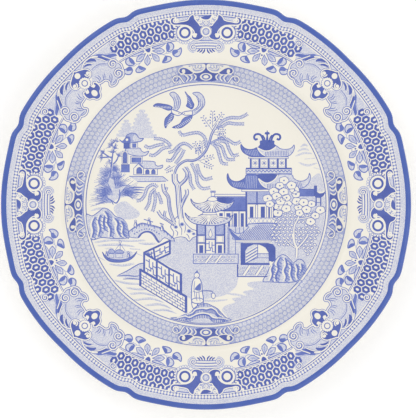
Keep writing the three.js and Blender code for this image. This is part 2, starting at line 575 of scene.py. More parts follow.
class Print:
    """Flat shapes, in millimetres seen from above, gathered into one piece laid on the glaze."""

    def __init__(self, copies=AS_DRAWN):
        self.copies = copies
        self.level = 0
        self.points = []
        self.lifts = []
        self.faces = []
        self.inks = []
        self.shapes = 0

    def add(self, points, faces, ink):
        """Adds a shape once for each copy. A mirrored copy's faces are turned over to face up again."""
        lift = FIRST_LIFT + self.level * LEVEL_LIFT + ink * INK_LIFT
        lift += self.shapes % SHAPES_APART * SHAPE_LIFT
        self.shapes += 1
        for a, b, c, d in self.copies:
            start = len(self.points)
            self.points += [(a * x + b * y, c * x + d * y) for x, y in points]
            self.lifts += [lift] * len(points)
            mirrored = a * d - b * c < 0
            for face in faces:
                order = face[::-1] if mirrored else face
                self.faces.append([start + i for i in order])
                self.inks.append(ink)

    def fill(self, outline, ink, curve=True):
        """A filled shape. Its outline is softened unless curve is False."""
        loop = smooth(outline, closed=True) if curve else list(outline)
        if area(loop) < 0:
            loop.reverse()
        triangles = tessellate_polygon([[Vector((x, y, 0)) for x, y in loop]])
        facing = []
        for i, j, k in triangles:
            (ax, ay), (bx, by), (cx, cy) = loop[i], loop[j], loop[k]
            up = (bx - ax) * (cy - ay) - (by - ay) * (cx - ax) > 0
            facing.append([i, j, k] if up else [i, k, j])
        self.add(loop, facing, ink)

    def line(self, points, width=0.45, ink=LINE_INK, curve=True, closed=False, taper=0.0):
        """A stroke along the points. taper is the share of its width lost at both ends."""
        path = smooth(points, closed) if curve else list(points)
        count = len(path)
        sides = []
        for i, (x, y) in enumerate(path):
            before = path[i - 1] if closed or i else path[i]
            after = path[(i + 1) % count] if closed or i < count - 1 else path[i]
            first = Vector((x - before[0], y - before[1]))
            second = Vector((after[0] - x, after[1] - y))
            first = first.normalized() if first.length > 1e-9 else second.normalized()
            second = second.normalized() if second.length > 1e-9 else first
            along = first + second
            along = along.normalized() if along.length > 1e-6 else second
            mitre = min(1 / max(along.dot(second), 0.3), MITRE_LIMIT)
            ends = 1 - taper * abs(2 * i / max(count - 1, 1) - 1) ** 2
            half = width / 2 * mitre * ends
            sides.append((x - along.y * half, y + along.x * half))
            sides.append((x + along.y * half, y - along.x * half))
        faces = []
        for i in range(count if closed else count - 1):
            a, b = 2 * i, 2 * ((i + 1) % count)
            faces.append([a, a + 1, b + 1, b])
        self.add(sides, faces, ink)

    def lines(self, paths, width=0.45, ink=LINE_INK, taper=0.0):
        """The same stroke along each of the paths."""
        for path in paths:
            self.line(path, width, ink, taper=taper)

    def straight(self, points, width=0.45, ink=LINE_INK, closed=False):
        """A stroke with sharp corners."""
        self.line(points, width, ink, curve=False, closed=closed)

    def shape(self, outline, ink, edge=0.45, edge_ink=LINE_INK, curve=True):
        """A filled shape with a line round it."""
        self.fill(outline, ink, curve)
        self.line(outline, edge, edge_ink, curve, closed=True)

    def disc(self, centre, radius, ink, sides=14, squash=1.0, tilt=0.0):
        """A filled circle or oval."""
        self.fill(circle(centre, radius, sides, squash, tilt), ink, curve=False)

    def ring(self, centre, radius, width=0.4, ink=LINE_INK, sides=18):
        """A line round a circle."""
        self.straight(circle(centre, radius, sides), width, ink, closed=True)

    def box(self, left, bottom, right, top, ink):
        """A filled upright rectangle."""
        self.fill([(left, bottom), (right, bottom), (right, top), (left, top)], ink, curve=False)

    def frame(self, left, bottom, right, top, width=0.45, ink=LINE_INK):
        """A line round an upright rectangle."""
        corners = [(left, bottom), (right, bottom), (right, top), (left, top)]
        self.straight(corners, width, ink, closed=True)

    def volute(self, centre, radius, start, turns=1.2, width=0.55, ink=LINE_INK):
        """A spiral that winds in. start is in degrees, and negative turns wind clockwise."""
        steps = max(6, int(abs(turns) * VOLUTE_STEPS))
        path = []
        for i in range(steps + 1):
            share = i / steps
            a = math.radians(start) + 2 * math.pi * turns * share
            size = radius * (1 - VOLUTE_SHRINK * share)
            path.append((centre[0] + size * math.cos(a), centre[1] + size * math.sin(a)))
        self.line(path, width, ink, curve=False)

    def leaf(self, base, tip, width, ink=TONE_INK, edge=0.4, widest=0.5):
        """A leaf or petal from base to tip. widest is the share of its length where it is widest."""
        dx, dy = tip[0] - base[0], tip[1] - base[1]
        length = math.hypot(dx, dy)
        power = math.log(0.5) / math.log(widest)
        outline = []
        for i in range(12):
            a = 2 * math.pi * i / 12
            along = (1 - math.cos(a)) / 2
            side = math.sin(math.pi * along ** power) * width / 2 / length
            side = side if a <= math.pi else -side
            outline.append((base[0] + dx * along - dy * side, base[1] + dy * along + dx * side))
        self.fill(outline, ink, curve=False)
        if edge:
            self.line(outline, edge, LINE_INK, curve=False, closed=True)

    def scroll(self, at, radius, start, turns=-1.3, width=0.7, rim=1.5):
        """A cream spiral with blue sides. at is an angle and a radius. start is as seen from there."""
        centre = plane(*at)
        self.volute(centre, radius, start - at[0], turns, rim, LINE_INK)
        self.level += 1
        self.volute(centre, radius, start - at[0], turns, width, CREAM_INK)
        self.level -= 1

    def piped(self, points, width=0.7, rim=1.4, curve=True, closed=False):
        """A cream line with blue sides."""
        self.line(points, rim, LINE_INK, curve, closed)
        self.level += 1
        self.line(points, width, CREAM_INK, curve, closed)
        self.level -= 1

    def haloed(self, outline, ink=DEEP_INK, halo=1.5, edge=2.2, curve=True):
        """A dark shape inside a cream line inside a thin blue one."""
        self.line(outline, edge, LINE_INK, curve, closed=True)
        self.level += 1
        self.line(outline, halo, CREAM_INK, curve, closed=True)
        self.fill(outline, ink, curve)
        self.level -= 1

    def strip(self, first, last, ink, degrees=0.75, step=1.0):
        """A band right round the plate between two of its rings, following the scallops."""
        radii = face_radii(first, last, step)
        turns = np.arange(0, 360, degrees)
        count = len(turns)
        points = []
        for radius in radii:
            distances = reach(radius, 90 - turns)
            points += [plane(angle, distance) for angle, distance in zip(turns, distances)]
        faces = []
        for ring in range(len(radii) - 1):
            for i in range(count):
                j = (i + 1) % count
                a, b = ring * count, (ring + 1) * count
                faces.append([a + i, a + j, b + j, b + i][::-1])
        self.add(points, faces, ink)

    def split(self):
        """Cuts faces across their longest edge until every edge lies close to the curved glaze."""
        points, lifts = np.array(self.points), np.array(self.lifts)
        triangles, inks = [], []
        for face, ink in zip(self.faces, self.inks):
            triangles.append(face[:3])
            inks.append(ink)
            if len(face) == 4:
                triangles.append([face[0], face[2], face[3]])
                inks.append(ink)
        triangles, inks = np.array(triangles), np.array(inks)
        while True:
            heights = glaze_height(points)
            following = np.roll(triangles, -1, axis=1)
            middles = (points[triangles] + points[following]) / 2
            bow = np.abs(glaze_height(middles) - (heights[triangles] + heights[following]) / 2)
            bowed = bow.max(axis=1) > MAX_BOW
            if not bowed.any():
                break
            lengths = np.linalg.norm(points[triangles] - points[following], axis=2)
            rows, edge = triangles[bowed], lengths.argmax(axis=1)[bowed]
            pick = np.arange(len(rows))
            a, b, c = (rows[pick, (edge + k) % 3] for k in range(3))
            middle = len(points) + pick
            points = np.vstack([points, middles[bowed][pick, edge]])
            lifts = np.concatenate([lifts, lifts[a]])
            halves = [np.column_stack([a, middle, c]), np.column_stack([middle, b, c])]
            triangles = np.vstack([triangles[~bowed]] + halves)
            inks = np.concatenate([inks[~bowed], inks[bowed], inks[bowed]])
        ahead = points[triangles[:, 1]] - points[triangles[:, 0]]
        aside = points[triangles[:, 2]] - points[triangles[:, 0]]
        turned = ahead[:, 0] * aside[:, 1] < ahead[:, 1] * aside[:, 0]
        triangles[turned] = triangles[turned][:, ::-1]
        return points, lifts, triangles, inks

    def lay(self, name, node):
        """Lays the shapes on the glaze as one piece that stands for a CAD node."""
        flat, lifts, triangles, inks = self.split()
        distance = np.hypot(flat[:, 0], flat[:, 1])
        slope = face_slope(ring_through(distance, np.degrees(np.arctan2(flat[:, 1], flat[:, 0]))))
        height = glaze_height(flat) + lifts * np.hypot(1, slope)
        used = sorted(set(inks.tolist()))
        indices = np.searchsorted(used, inks)
        piece = new_piece(name, np.column_stack([flat, height]), triangles.tolist(),
                          [INK_MATERIALS[i] for i in used], indices.astype(np.int32))
        outward = np.column_stack([flat / np.maximum(distance, 1e-6)[:, None] * -slope[:, None],
                                   np.ones(len(flat))])
        outward /= np.linalg.norm(outward, axis=1)[:, None]
        piece.data.normals_split_custom_set_from_vertices(outward.tolist())
        # Ink is too thin to shade what lies next to it.
        piece.visible_shadow = False
        piece.visible_diffuse = False
        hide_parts(node)
        return piece


# ---------------------------------------------------------------- the rim line and the edge print

# Depths inside the rim outline at which the rings of the edge print start and end.
RIM_LINE_DEPTH = 3.65
PALE_BAND_DEPTH = 6.6
BEAD_BAND_DEPTH = 9.5
BEAD_DEPTH = 8.3
INNER_LINE_DEPTH = 10.25
BEADS = 384
BEAD_RADIUS = 0.9
BEAD_SQUASH = 0.74
GAP_DOT_RADIUS = 0.42
RIM_LINE_LIFT = 0.04
RIM_LINE_STEP = 0.4
RIM_LINE_END = -35


def build_rim_line():
    """The brushed band, which starts on the flange and runs over the lip."""
    radii = face_radii(RIM_RADIUS - RIM_LINE_DEPTH, LIP_START, RIM_LINE_STEP)[:-1]
    face = [offset_point(radius, RIM_LINE_LIFT) for radius in radii]
    verts, faces = turn_profile(face + lip_points(RIM_LINE_LIFT, RIM_LINE_END), RIM_SEGMENTS)
    band = new_piece("rim_band", verts, faces, [RIM_BLUE])
    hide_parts("rim_line")


def draw_bead(edge, angle):
    """A white bead in the row inside the pale band."""
    centre = plane(angle, float(rim_radius(angle)) - BEAD_DEPTH)
    edge.disc(centre, BEAD_RADIUS, CREAM_INK, 10, BEAD_SQUASH, 90 - angle)


def build_edge_print():
    """The pale band, the row of beads inside it and the line inside those."""
    edge = Print()
    edge.strip(RIM_RADIUS - PALE_BAND_DEPTH, RIM_RADIUS - RIM_LINE_DEPTH, TONE_INK)
    edge.strip(RIM_RADIUS - BEAD_BAND_DEPTH, RIM_RADIUS - PALE_BAND_DEPTH - 0.3, WASH_INK)
    edge.strip(RIM_RADIUS - INNER_LINE_DEPTH - 0.6, RIM_RADIUS - INNER_LINE_DEPTH, LINE_INK)
    edge.copies = BOTH_SIDES
    pitch = 360 / BEADS
    for i in range(BEADS // 8):
        bead = i * pitch
        gap = bead + pitch / 2
        middle = float(rim_radius(gap)) - BEAD_DEPTH
        edge.level = 0
        for row in (-0.95, 1.05):
            edge.disc(plane(gap, middle + row), GAP_DOT_RADIUS, DEEP_INK, sides=8)
        edge.level = 1
        if i:
            draw_bead(edge, bead)
    edge.copies = ON_AXES
    for angle in (0, EIGHTH):
        draw_bead(edge, angle)
    edge.lay("edge_beads", "edge_print")


build_rim_line()
build_edge_print()

# ---------------------------------------------------------------- the border on the flange

# Places on the border are an angle clockwise from the middle of a wide lobe and a radius.
NET_TOP_DEPTH = 10.6
CELL_PITCH = 2.56
CELL_HALF_WIDTH = 2.42
CELL_HALF_HEIGHT = 2.95
CELL_ROWS = ((112.3, 11.35, 8), (117.2, 10.1, 9), (122.1, 11.35, 7))
FLOWER_ANGLE = 20.5


def draw_honeycomb(border):
    """Dark six-sided cells with a white eye, in three rows, cut off by the lines above and below."""
    for radius, first, count in CELL_ROWS:
        for i in range(count):
            angle = first + i * CELL_PITCH
            centre = plane(angle, radius)
            ceiling = float(rim_radius(angle)) - NET_TOP_DEPTH
            cell = []
            for corner in range(6):
                turn = math.radians(60 * corner)
                across = CELL_HALF_WIDTH * 1.06 * math.sin(turn)
                outward = min(radius + CELL_HALF_HEIGHT * math.cos(turn), ceiling)
                cell.append(plane(angle + math.degrees(across / radius), outward))
            border.level = 0
            border.fill(cell, DEEP_INK, curve=False)
            border.level = 1
            border.disc(centre, 1.15, CREAM_INK, 12, 0.68, 90 - angle)
    border.level = 0
    for i in range(8):
        angle = CELL_ROWS[1][1] + i * CELL_PITCH
        stub = [(angle - 0.75, 109.35), (angle + 0.75, 109.35), (angle + 0.3, 110.1),
                (angle - 0.3, 110.1)]
        border.fill(planes(stub), DEEP_INK, curve=False)
    for radius, width in ((108.6, 0.35), (107.7, 0.5)):
        arc = [plane(10 + 21 * i / 14, radius) for i in range(15)]
        border.straight(arc, width, LINE_INK)


def draw_rosette(border):
    """The half-flower under the bead row, with the daisy and the shell below it."""
    border.level = 0
    ground = mirrored([(0, 122.8), (3.7, 122.8), (3.5, 120.6), (2.4, 117), (0, 115.6)])
    border.fill(planes(ground), TONE_INK, curve=False)
    for angle, radius, size in ((-2.75, 121.2, 1.3), (-1.75, 118.6, 1.4), (0, 117.5, 1.25),
                                (1.75, 118.6, 1.4), (2.75, 121.2, 1.3)):
        border.level = 0
        border.disc(plane(angle, radius), size + 0.3, LINE_INK)
        border.level = 1
        border.disc(plane(angle, radius), size, CREAM_INK)
        border.disc(plane(angle, radius), size * 0.55, TONE_INK, sides=10)
    border.level = 2
    border.fill(planes(mirrored([(0, 118.9), (1.2, 119.4), (2, 120.8), (2.1, 122.9)])), CREAM_INK)
    border.fill(planes(mirrored([(0, 119.7), (0.9, 120.1), (1.4, 121.3), (1.5, 122.8)])), DEEP_INK)
    draw_daisy(border, 0, 112, 3.4, lobes=0)
    border.level = 0
    shell = mirrored([(0, 108.7), (2.4, 106.8), (5, 106.3), (6.3, 104.4), (6.4, 101.8), (5.5, 99.7),
                      (4, 99.2), (3, 101.2), (0, 101.2)])
    border.fill(planes(shell), TONE_INK)
    for radius, width in ((106.3, 0.5), (104.7, 0.5), (102.8, 0.6), (101.1, 0.45)):
        border.straight([plane(-4 + i, radius) for i in range(9)], width, LINE_INK)
    border.level = 1
    for radius, width in ((103.75, 0.8), (101.95, 0.7), (105.5, 0.4)):
        border.straight([plane(-4 + i, radius) for i in range(9)], width, CREAM_INK)


def draw_daisy(border, angle, radius, size, lobes=16):
    """A round white flower with a ring in it, and a scalloped edge if it has lobes."""
    centre = plane(angle, radius)
    edge = []
    for i in range(64):
        turn = 2 * math.pi * i / 64
        reach_out = size * (1 + (0.06 * math.cos(lobes * turn) if lobes else 0))
        edge.append((centre[0] + reach_out * math.cos(turn), centre[1] + reach_out * math.sin(turn)))
    border.level = 2
    border.straight(edge, 0.6, LINE_INK, closed=True)
    border.level = 3
    border.fill(edge, CREAM_INK, curve=False)
    border.ring(centre, size * 0.5, 0.6, LINE_INK if lobes else WASH_INK, sides=24)
    if not lobes:
        border.disc(centre, size * 0.5, TONE_INK, sides=20)
        border.ring(centre, size * 0.62, 0.35, LINE_INK, sides=24)


def draw_bracket(border):
    """The dark bracket beside the rosette, whose arm curls round a white scroll."""
    border.level = 0
    lobe = planes([(5.1, 122.7), (5.3, 121), (6, 120), (7.3, 119.6), (8.6, 119.9), (8.9, 121.4),
                   (8.4, 122.7)])
    border.fill(lobe, TONE_INK)
    for offset in (0, 1.4):
        arc = [(6.4 + offset, 121.8), (6.9 + offset, 120.8), (7.6 + offset, 120.6)]
        border.line(planes(arc), 0.4, WASH_INK, taper=0.6)
    outline = [(4.3, 122.7), (5, 121.5), (5.5, 119.9), (6.6, 119.2), (8, 119.1), (9.2, 118.9),
               (10, 119.4), (10.25, 120.5), (10, 121.7), (9.4, 122.5), (10.3, 122.5), (10.8, 121.2),
               (10.75, 119.6), (10.1, 118.3), (8.8, 117.8), (7.4, 117.4), (6, 116.7), (5, 115.6),
               (4.3, 114.1), (3.8, 112.4), (3.8, 111), (4.6, 109.9), (4.8, 108.7), (4.5, 107.7),
               (3.6, 107), (2.5, 107.1), (1.6, 107.9), (1.15, 108.9), (1.7, 110.2), (1.95, 112),
               (1.75, 114), (1.1, 115.3), (2, 115.7), (2.4, 117), (3, 118.6), (3.6, 120.4), (3.8, 122.7)]
    border.haloed(planes(outline), halo=1.4, edge=2.0)
    border.level = 2
    border.volute(plane(3.75, 109.5), 1.5, 150, -0.9, 0.9, CREAM_INK)
    border.disc(plane(3.6, 109.4), 1.0, CREAM_INK)
    border.volute(plane(9.2, 120.7), 1.5, 240, -1.0, 0.7, CREAM_INK)
    border.disc(plane(9.3, 120.4), 0.75, CREAM_INK)
    border.level = 0


def draw_ringed_disc(border):
    """A white disc in a blue ring in a white one, with a frill of beads on its outer side."""
    centre = plane(7, 112.1)
    border.level = 0
    border.disc(centre, 5.6, LINE_INK, sides=36)
    border.level = 2
    border.disc(centre, 5.1, CREAM_INK, sides=36)
    border.disc(centre, 3.75, DEEP_INK, sides=32)
    border.level = 3
    border.disc(centre, 2.35, CREAM_INK, sides=28)
    for i in range(11):
        turn = math.radians(52 - 15.5 * i - 7)
        place = (centre[0] + 6.6 * math.cos(turn), centre[1] + 6.6 * math.sin(turn))
        border.level = 0
        border.disc(place, 1.0, WASH_INK, sides=10)
        border.level = 1
        border.disc(place, 0.62, CREAM_INK, sides=10)
    border.level = 0


def draw_shell(border):
    """One side of the shell under the rosette: its scroll, its edge and the dark teeth below it."""
    border.level = 1
    border.volute(plane(4.55, 102.1), 2.3, 110 - 4.5, -1.4, 1.25, LINE_INK)
    border.level = 2
    border.volute(plane(4.55, 102.1), 2.3, 110 - 4.5, -1.4, 0.65, CREAM_INK)
    border.level = 0
    edge = [(4.4, 106.2), (5.8, 105.2), (6.5, 103.4), (6.5, 101.2), (5.6, 99.4), (4.4, 98.8)]
    border.line(planes(edge), 0.4, WASH_INK)
    teeth = (((0.45, 100.9), (0.7, 99.3), (1.5, 97.9)), ((1.3, 100.9), (1.7, 99.6), (2.5, 98.6)),
             ((2.2, 100.9), (2.6, 100), (3.4, 99.2)))
    for tooth in teeth:
        border.line(planes(tooth), 1.0, DEEP_INK, taper=0.7)


def draw_leaf(border, outline, dark, across):
    """A pale leaf with one dark side. across gives the angle at which a point of it is laid."""
    leaf = planes([(across(angle), radius) for angle, radius in outline])
    border.shape(leaf, TONE_INK, 0.7)
    border.fill(planes([(across(angle), radius) for angle, radius in dark]), LINE_INK)


LEAVES = (
    (((11.6, 106), (11.5, 104.5), (12, 103), (13, 102), (14, 102.2), (14.2, 104), (13.9, 106),
      (13.2, 107.5), (12.3, 107.3)),
     ((13.3, 107.2), (14, 106), (14.1, 104), (13.9, 102.4), (13.2, 103.2), (12.9, 105.3))),
    (((9.1, 102.8), (9.1, 100.5), (9.8, 98.5), (11, 97.6), (12.2, 98.8), (12.4, 100.5), (11.9, 102),
      (10.8, 101.9), (10, 102)),
     ((10.5, 101.6), (11.6, 101.9), (12.3, 100.8), (12.2, 99.2), (11.2, 99.8), (10.4, 100.5))),
    (((13.5, 98.3), (13.4, 96.8), (14.5, 95.7), (16, 95.7), (17, 96.3), (16.2, 98), (15.3, 99.5),
      (14.6, 99.3)),
     ((14.8, 99.4), (15.9, 98.4), (16.5, 97), (16.9, 96.4), (15.7, 96.4), (14.9, 97.6))),
)
PETALS = (((19.3, 105.4), (15.1, 103), 3.9), ((19.8, 104.2), (18.1, 97.8), 3.8))


def draw_flower_spray(border):
    """The flower under the honeycomb, with its petals and leaves, alike on both sides."""
    border.level = 0
    for side in (1, -1):
        def across(angle):
            """The angle on this side of the flower."""
            return FLOWER_ANGLE + side * (angle - FLOWER_ANGLE)

        for outline, dark in LEAVES:
            draw_leaf(border, outline, dark, across)
        for (angle, radius), (tip_angle, tip_radius), width in PETALS:
            base, tip = plane(across(angle), radius), plane(across(tip_angle), tip_radius)
            border.level = 0
            border.leaf(base, tip, width, TONE_INK, 0.5, widest=0.62)
            border.level = 1
            border.leaf(between(base, tip, 0.15), between(base, tip, 0.8), width * 0.36, WASH_INK, 0,
                        widest=0.6)
        border.level = 0
        wing = [(14.3, 107.6), (15.2, 106.6), (16.6, 106), (18.2, 106.3), (19.2, 107), (18, 107.4),
                (16, 107.5)]
        border.shape(planes([(across(a), r) for a, r in wing]), TONE_INK, 0.4)
        stems = (((14.3, 102.6), (14.9, 101.3), (16.3, 101.3), (18, 102.6)),
                 ((12.3, 101.6), (13.2, 101), (14.9, 101.3)), ((15, 99.4), (15.4, 100.4), (16.3, 101.3)))
        for stem in stems:
            border.line(planes([(across(a), r) for a, r in stem]), 0.4, WASH_INK)
    cup = [(19.3, 107.9), (19.4, 106), (20.5, 104.6), (21.6, 106), (21.7, 107.9)]
    border.level = 2
    border.line(planes(cup), 0.9, CREAM_INK)
    border.fill(planes([(19.7, 107.7), (19.8, 106.2), (20.5, 105.2), (21.2, 106.2), (21.3, 107.7)]),
                DEEP_INK)
    border.disc(plane(FLOWER_ANGLE, 103.3), 0.6, DEEP_INK, sides=10)
    border.disc(plane(FLOWER_ANGLE, 100.9), 0.4, LINE_INK, sides=10)
    border.level = 0


def draw_acanthus(border):
    """The leafy scroll between the honeycomb and the clover, and the scrolled panel below it."""
    border.level = 0
    ground = [(28.6, 122.9), (45, 121.9), (45, 114), (42, 110.5), (43.4, 107.8), (42.4, 107.5),
              (41.6, 104.4), (40.3, 103.9), (38.8, 103.4), (38.2, 101.4), (38.7, 99.2), (37.9, 97.9),
              (36.4, 97.7), (35.2, 99), (33.4, 98.8), (32, 100.4), (31.5, 103.4), (31.2, 106.4),
              (31.8, 109.4), (31, 113), (29.4, 115.8), (28.6, 119)]
    border.fill(planes(ground), TONE_INK, curve=False)
    outline = [(41.8, 106.6), (41.6, 104.5), (40.4, 103.9), (39.1, 103.7), (38.4, 102.5), (38.2, 100.9),
               (38.8, 99.2), (38.5, 98), (37.2, 97.3), (35.9, 97.9), (35.1, 99), (34, 98.7), (32.7, 99.3),
               (31.8, 101), (31.5, 103.5), (31.2, 106), (31.7, 108.4)]
    border.piped(planes(outline), 0.75, 1.7)
    border.scroll((33.6, 109.3), 3.2, 190, -1.5, 0.75, 1.6)
    border.scroll((33.7, 102.3), 3.1, 190, -1.5, 0.75, 1.6)
    border.scroll((30, 120.2), 2.6, 160, -1.5, 0.65, 1.3)
    lower = [(28.7, 117.4), (29.4, 116.2), (31, 115.6), (32.8, 116.2), (34.2, 117.6), (35.6, 119.6),
             (37.4, 121.2)]
    border.line(planes(lower), 0.5, WASH_INK)
    braid = [(30.8, 112.4), (31.2, 114.2), (32.6, 115.6), (33.8, 116.6), (34.9, 118.6), (36, 120.2),
             (36.4, 119), (35.5, 116.8), (34.8, 114.6), (34, 112.6), (33.3, 113.4), (32, 112.9)]
    border.fill(planes(braid), LINE_INK)
    strokes = (((34.3, 112.9), (35, 114.8), (35.6, 116.8), (36.6, 119.2)),
               ((37.5, 116.8), (37.8, 118.2), (38.7, 119.6), (40, 120.4)),
               ((39.3, 116.6), (39.9, 118), (40.8, 118.8), (41.8, 118.9)))
    for stroke, width in zip(strokes, (1.5, 1.9, 1.3)):
        border.line(planes(stroke), width, DEEP_INK, taper=0.8)
    veins = (((33, 112.4), (33.6, 113.8), (34.3, 115.6), (35, 117.6)),
             ((35, 113.4), (35.9, 116.2), (36.9, 118.6), (37.9, 120.3)),
             ((38.6, 116.4), (39.2, 118), (40.1, 119.4), (41.3, 120)))
    for vein in veins:
        border.piped(planes(vein), 0.6, 1.1)
    rail = [(36.2, 118.6), (37.3, 120.3), (38.8, 121.2), (40.4, 121.2), (41.7, 120.2), (42.5, 118.9)]
    border.piped(planes(rail), 0.8, 1.5)
    under = [(35.2, 111.4), (36.4, 113.2), (37.6, 114.3), (38.8, 114.6), (40.4, 114.4)]
    border.line(planes(under), 0.45, LINE_INK)
    border.line(planes([(angle, radius - 1) for angle, radius in under]), 0.35, WASH_INK)
    hatches = (((37.8, 107.6), (38.1, 106), (38.7, 104.6)),
               ((38.5, 107.4), (38.9, 105.6), (39.4, 104.6)), ((40, 109.2), (39.8, 107), (40.2, 105.4)),
               ((40.9, 109.6), (40.5, 107.2), (40.8, 105.2)),
               ((36, 105.2), (36.2, 103), (37.2, 101), (38, 100)),
               ((36.8, 104.6), (37.2, 102.8), (37.8, 101.6)), ((35.6, 100), (36.6, 99.2), (37.6, 99.2)))
    for hatch in hatches:
        border.line(planes(hatch), 0.5, LINE_INK, taper=0.5)


def draw_clover(border):
    """The dark clovers on a diagonal, one above and one below a scalloped daisy."""
    upper = [(45, 120.9), (44.5, 120.1), (43.6, 119.3), (42.8, 118.4), (41.9, 117.4), (41.3, 115.7),
             (41.2, 114), (41.7, 112.5), (42.8, 111.9), (43.7, 112.9), (44, 114), (45, 114.3)]
    lower = [(45, 107.4), (44.3, 107.1), (44.1, 105.8), (43.4, 105), (42.8, 105.4), (43, 106.6),
             (42.4, 106.9), (42.1, 105.6), (42, 103.8), (42.3, 101.9), (43.2, 100.9), (43.7, 99.7),
             (44.1, 98.4), (45, 97.8)]
    for half in (upper, lower):
        border.level = 0
        border.haloed(planes(mirrored(half, EIGHTH)), halo=1.4, edge=2.1)
    for side in (1, -1):
        border.level = 2
        centre = plane(EIGHTH - side * 2.9, 114.2)
        border.volute(centre, 1.9, 90 - EIGHTH - side * 60, side * -1.3, 0.75, CREAM_INK)
        border.disc(centre, 0.8, CREAM_INK)
        border.disc(plane(EIGHTH - side * 1.5, 105.8), 1.1, CREAM_INK)
    border.disc(plane(EIGHTH, 117.6), 1.9, CREAM_INK, sides=20)
    border.disc(plane(EIGHTH, 102.1), 2.2, CREAM_INK, 20, 0.85, 90 - EIGHTH)
    draw_daisy(border, EIGHTH, 111, 3.65)


def build_border():
    """The border as two pieces: the honeycomb with its flowers, and the scrolled ornaments."""
    border = Print(BOTH_SIDES)
    draw_honeycomb(border)
    draw_flower_spray(border)
    border.lay("border_net", "border_print")
    border = Print(ON_AXES)
    draw_rosette(border)
    draw_clover(border)
    border.copies = BOTH_SIDES
    draw_acanthus(border)
    draw_bracket(border)
    draw_ringed_disc(border)
    draw_shell(border)
    border.lay("border_scrolls", "border_print")


build_border()

# ---------------------------------------------------------------- the band on the shoulder

BAND_INNER = 79.6
BAND_OUTER = 91.8
NET_ROWS = 4
NET_CELLS = 180
NET_CELL_SIZE = 1.44
CARTOUCHE_EDGE = 11.5


def draw_net(band):
    """Four rows of pale six-sided cells right round the band, apart from under the cartouches."""
    pitch = 360 / NET_CELLS
    first, last = BAND_INNER + 1.75, BAND_OUTER - 1.85
    band.level = 1
    for row in range(NET_ROWS):
        radius = first + (last - first) * row / (NET_ROWS - 1)
        stagger = 0.5 if row % 2 else 0
        for i in range(NET_CELLS // 4):
            angle = (i + stagger) * pitch
            if min(angle, 90 - angle) < CARTOUCHE_EDGE:
                continue
            band.disc(plane(angle, radius), NET_CELL_SIZE, TONE_INK, sides=6, tilt=90 - angle)


def draw_medallion(band):
    """The oval and the dark star behind it, in the middle of a cartouche."""
    band.level = 1
    star = mirrored([(0, 91.3), (1.5, 91.3), (0.9, 90), (1, 87.6), (3.4, 86.4), (5.8, 86.4), (6, 85.2),
                     (4.3, 84.4), (4.1, 82.8), (4.8, 81.2), (3, 80.4), (0, 80.4)])
    band.fill(planes(star), DEEP_INK)
    centre = plane(0, 83.05)
    for level, radius, squash, ink in ((2, 3.95, 0.6, CREAM_INK), (3, 3.2, 0.58, TONE_INK),
                                       (3, 2.75, 0.66, LINE_INK), (4, 1.75, 0.6, CREAM_INK)):
        band.level = level
        band.disc(centre, radius, ink, 28, squash)


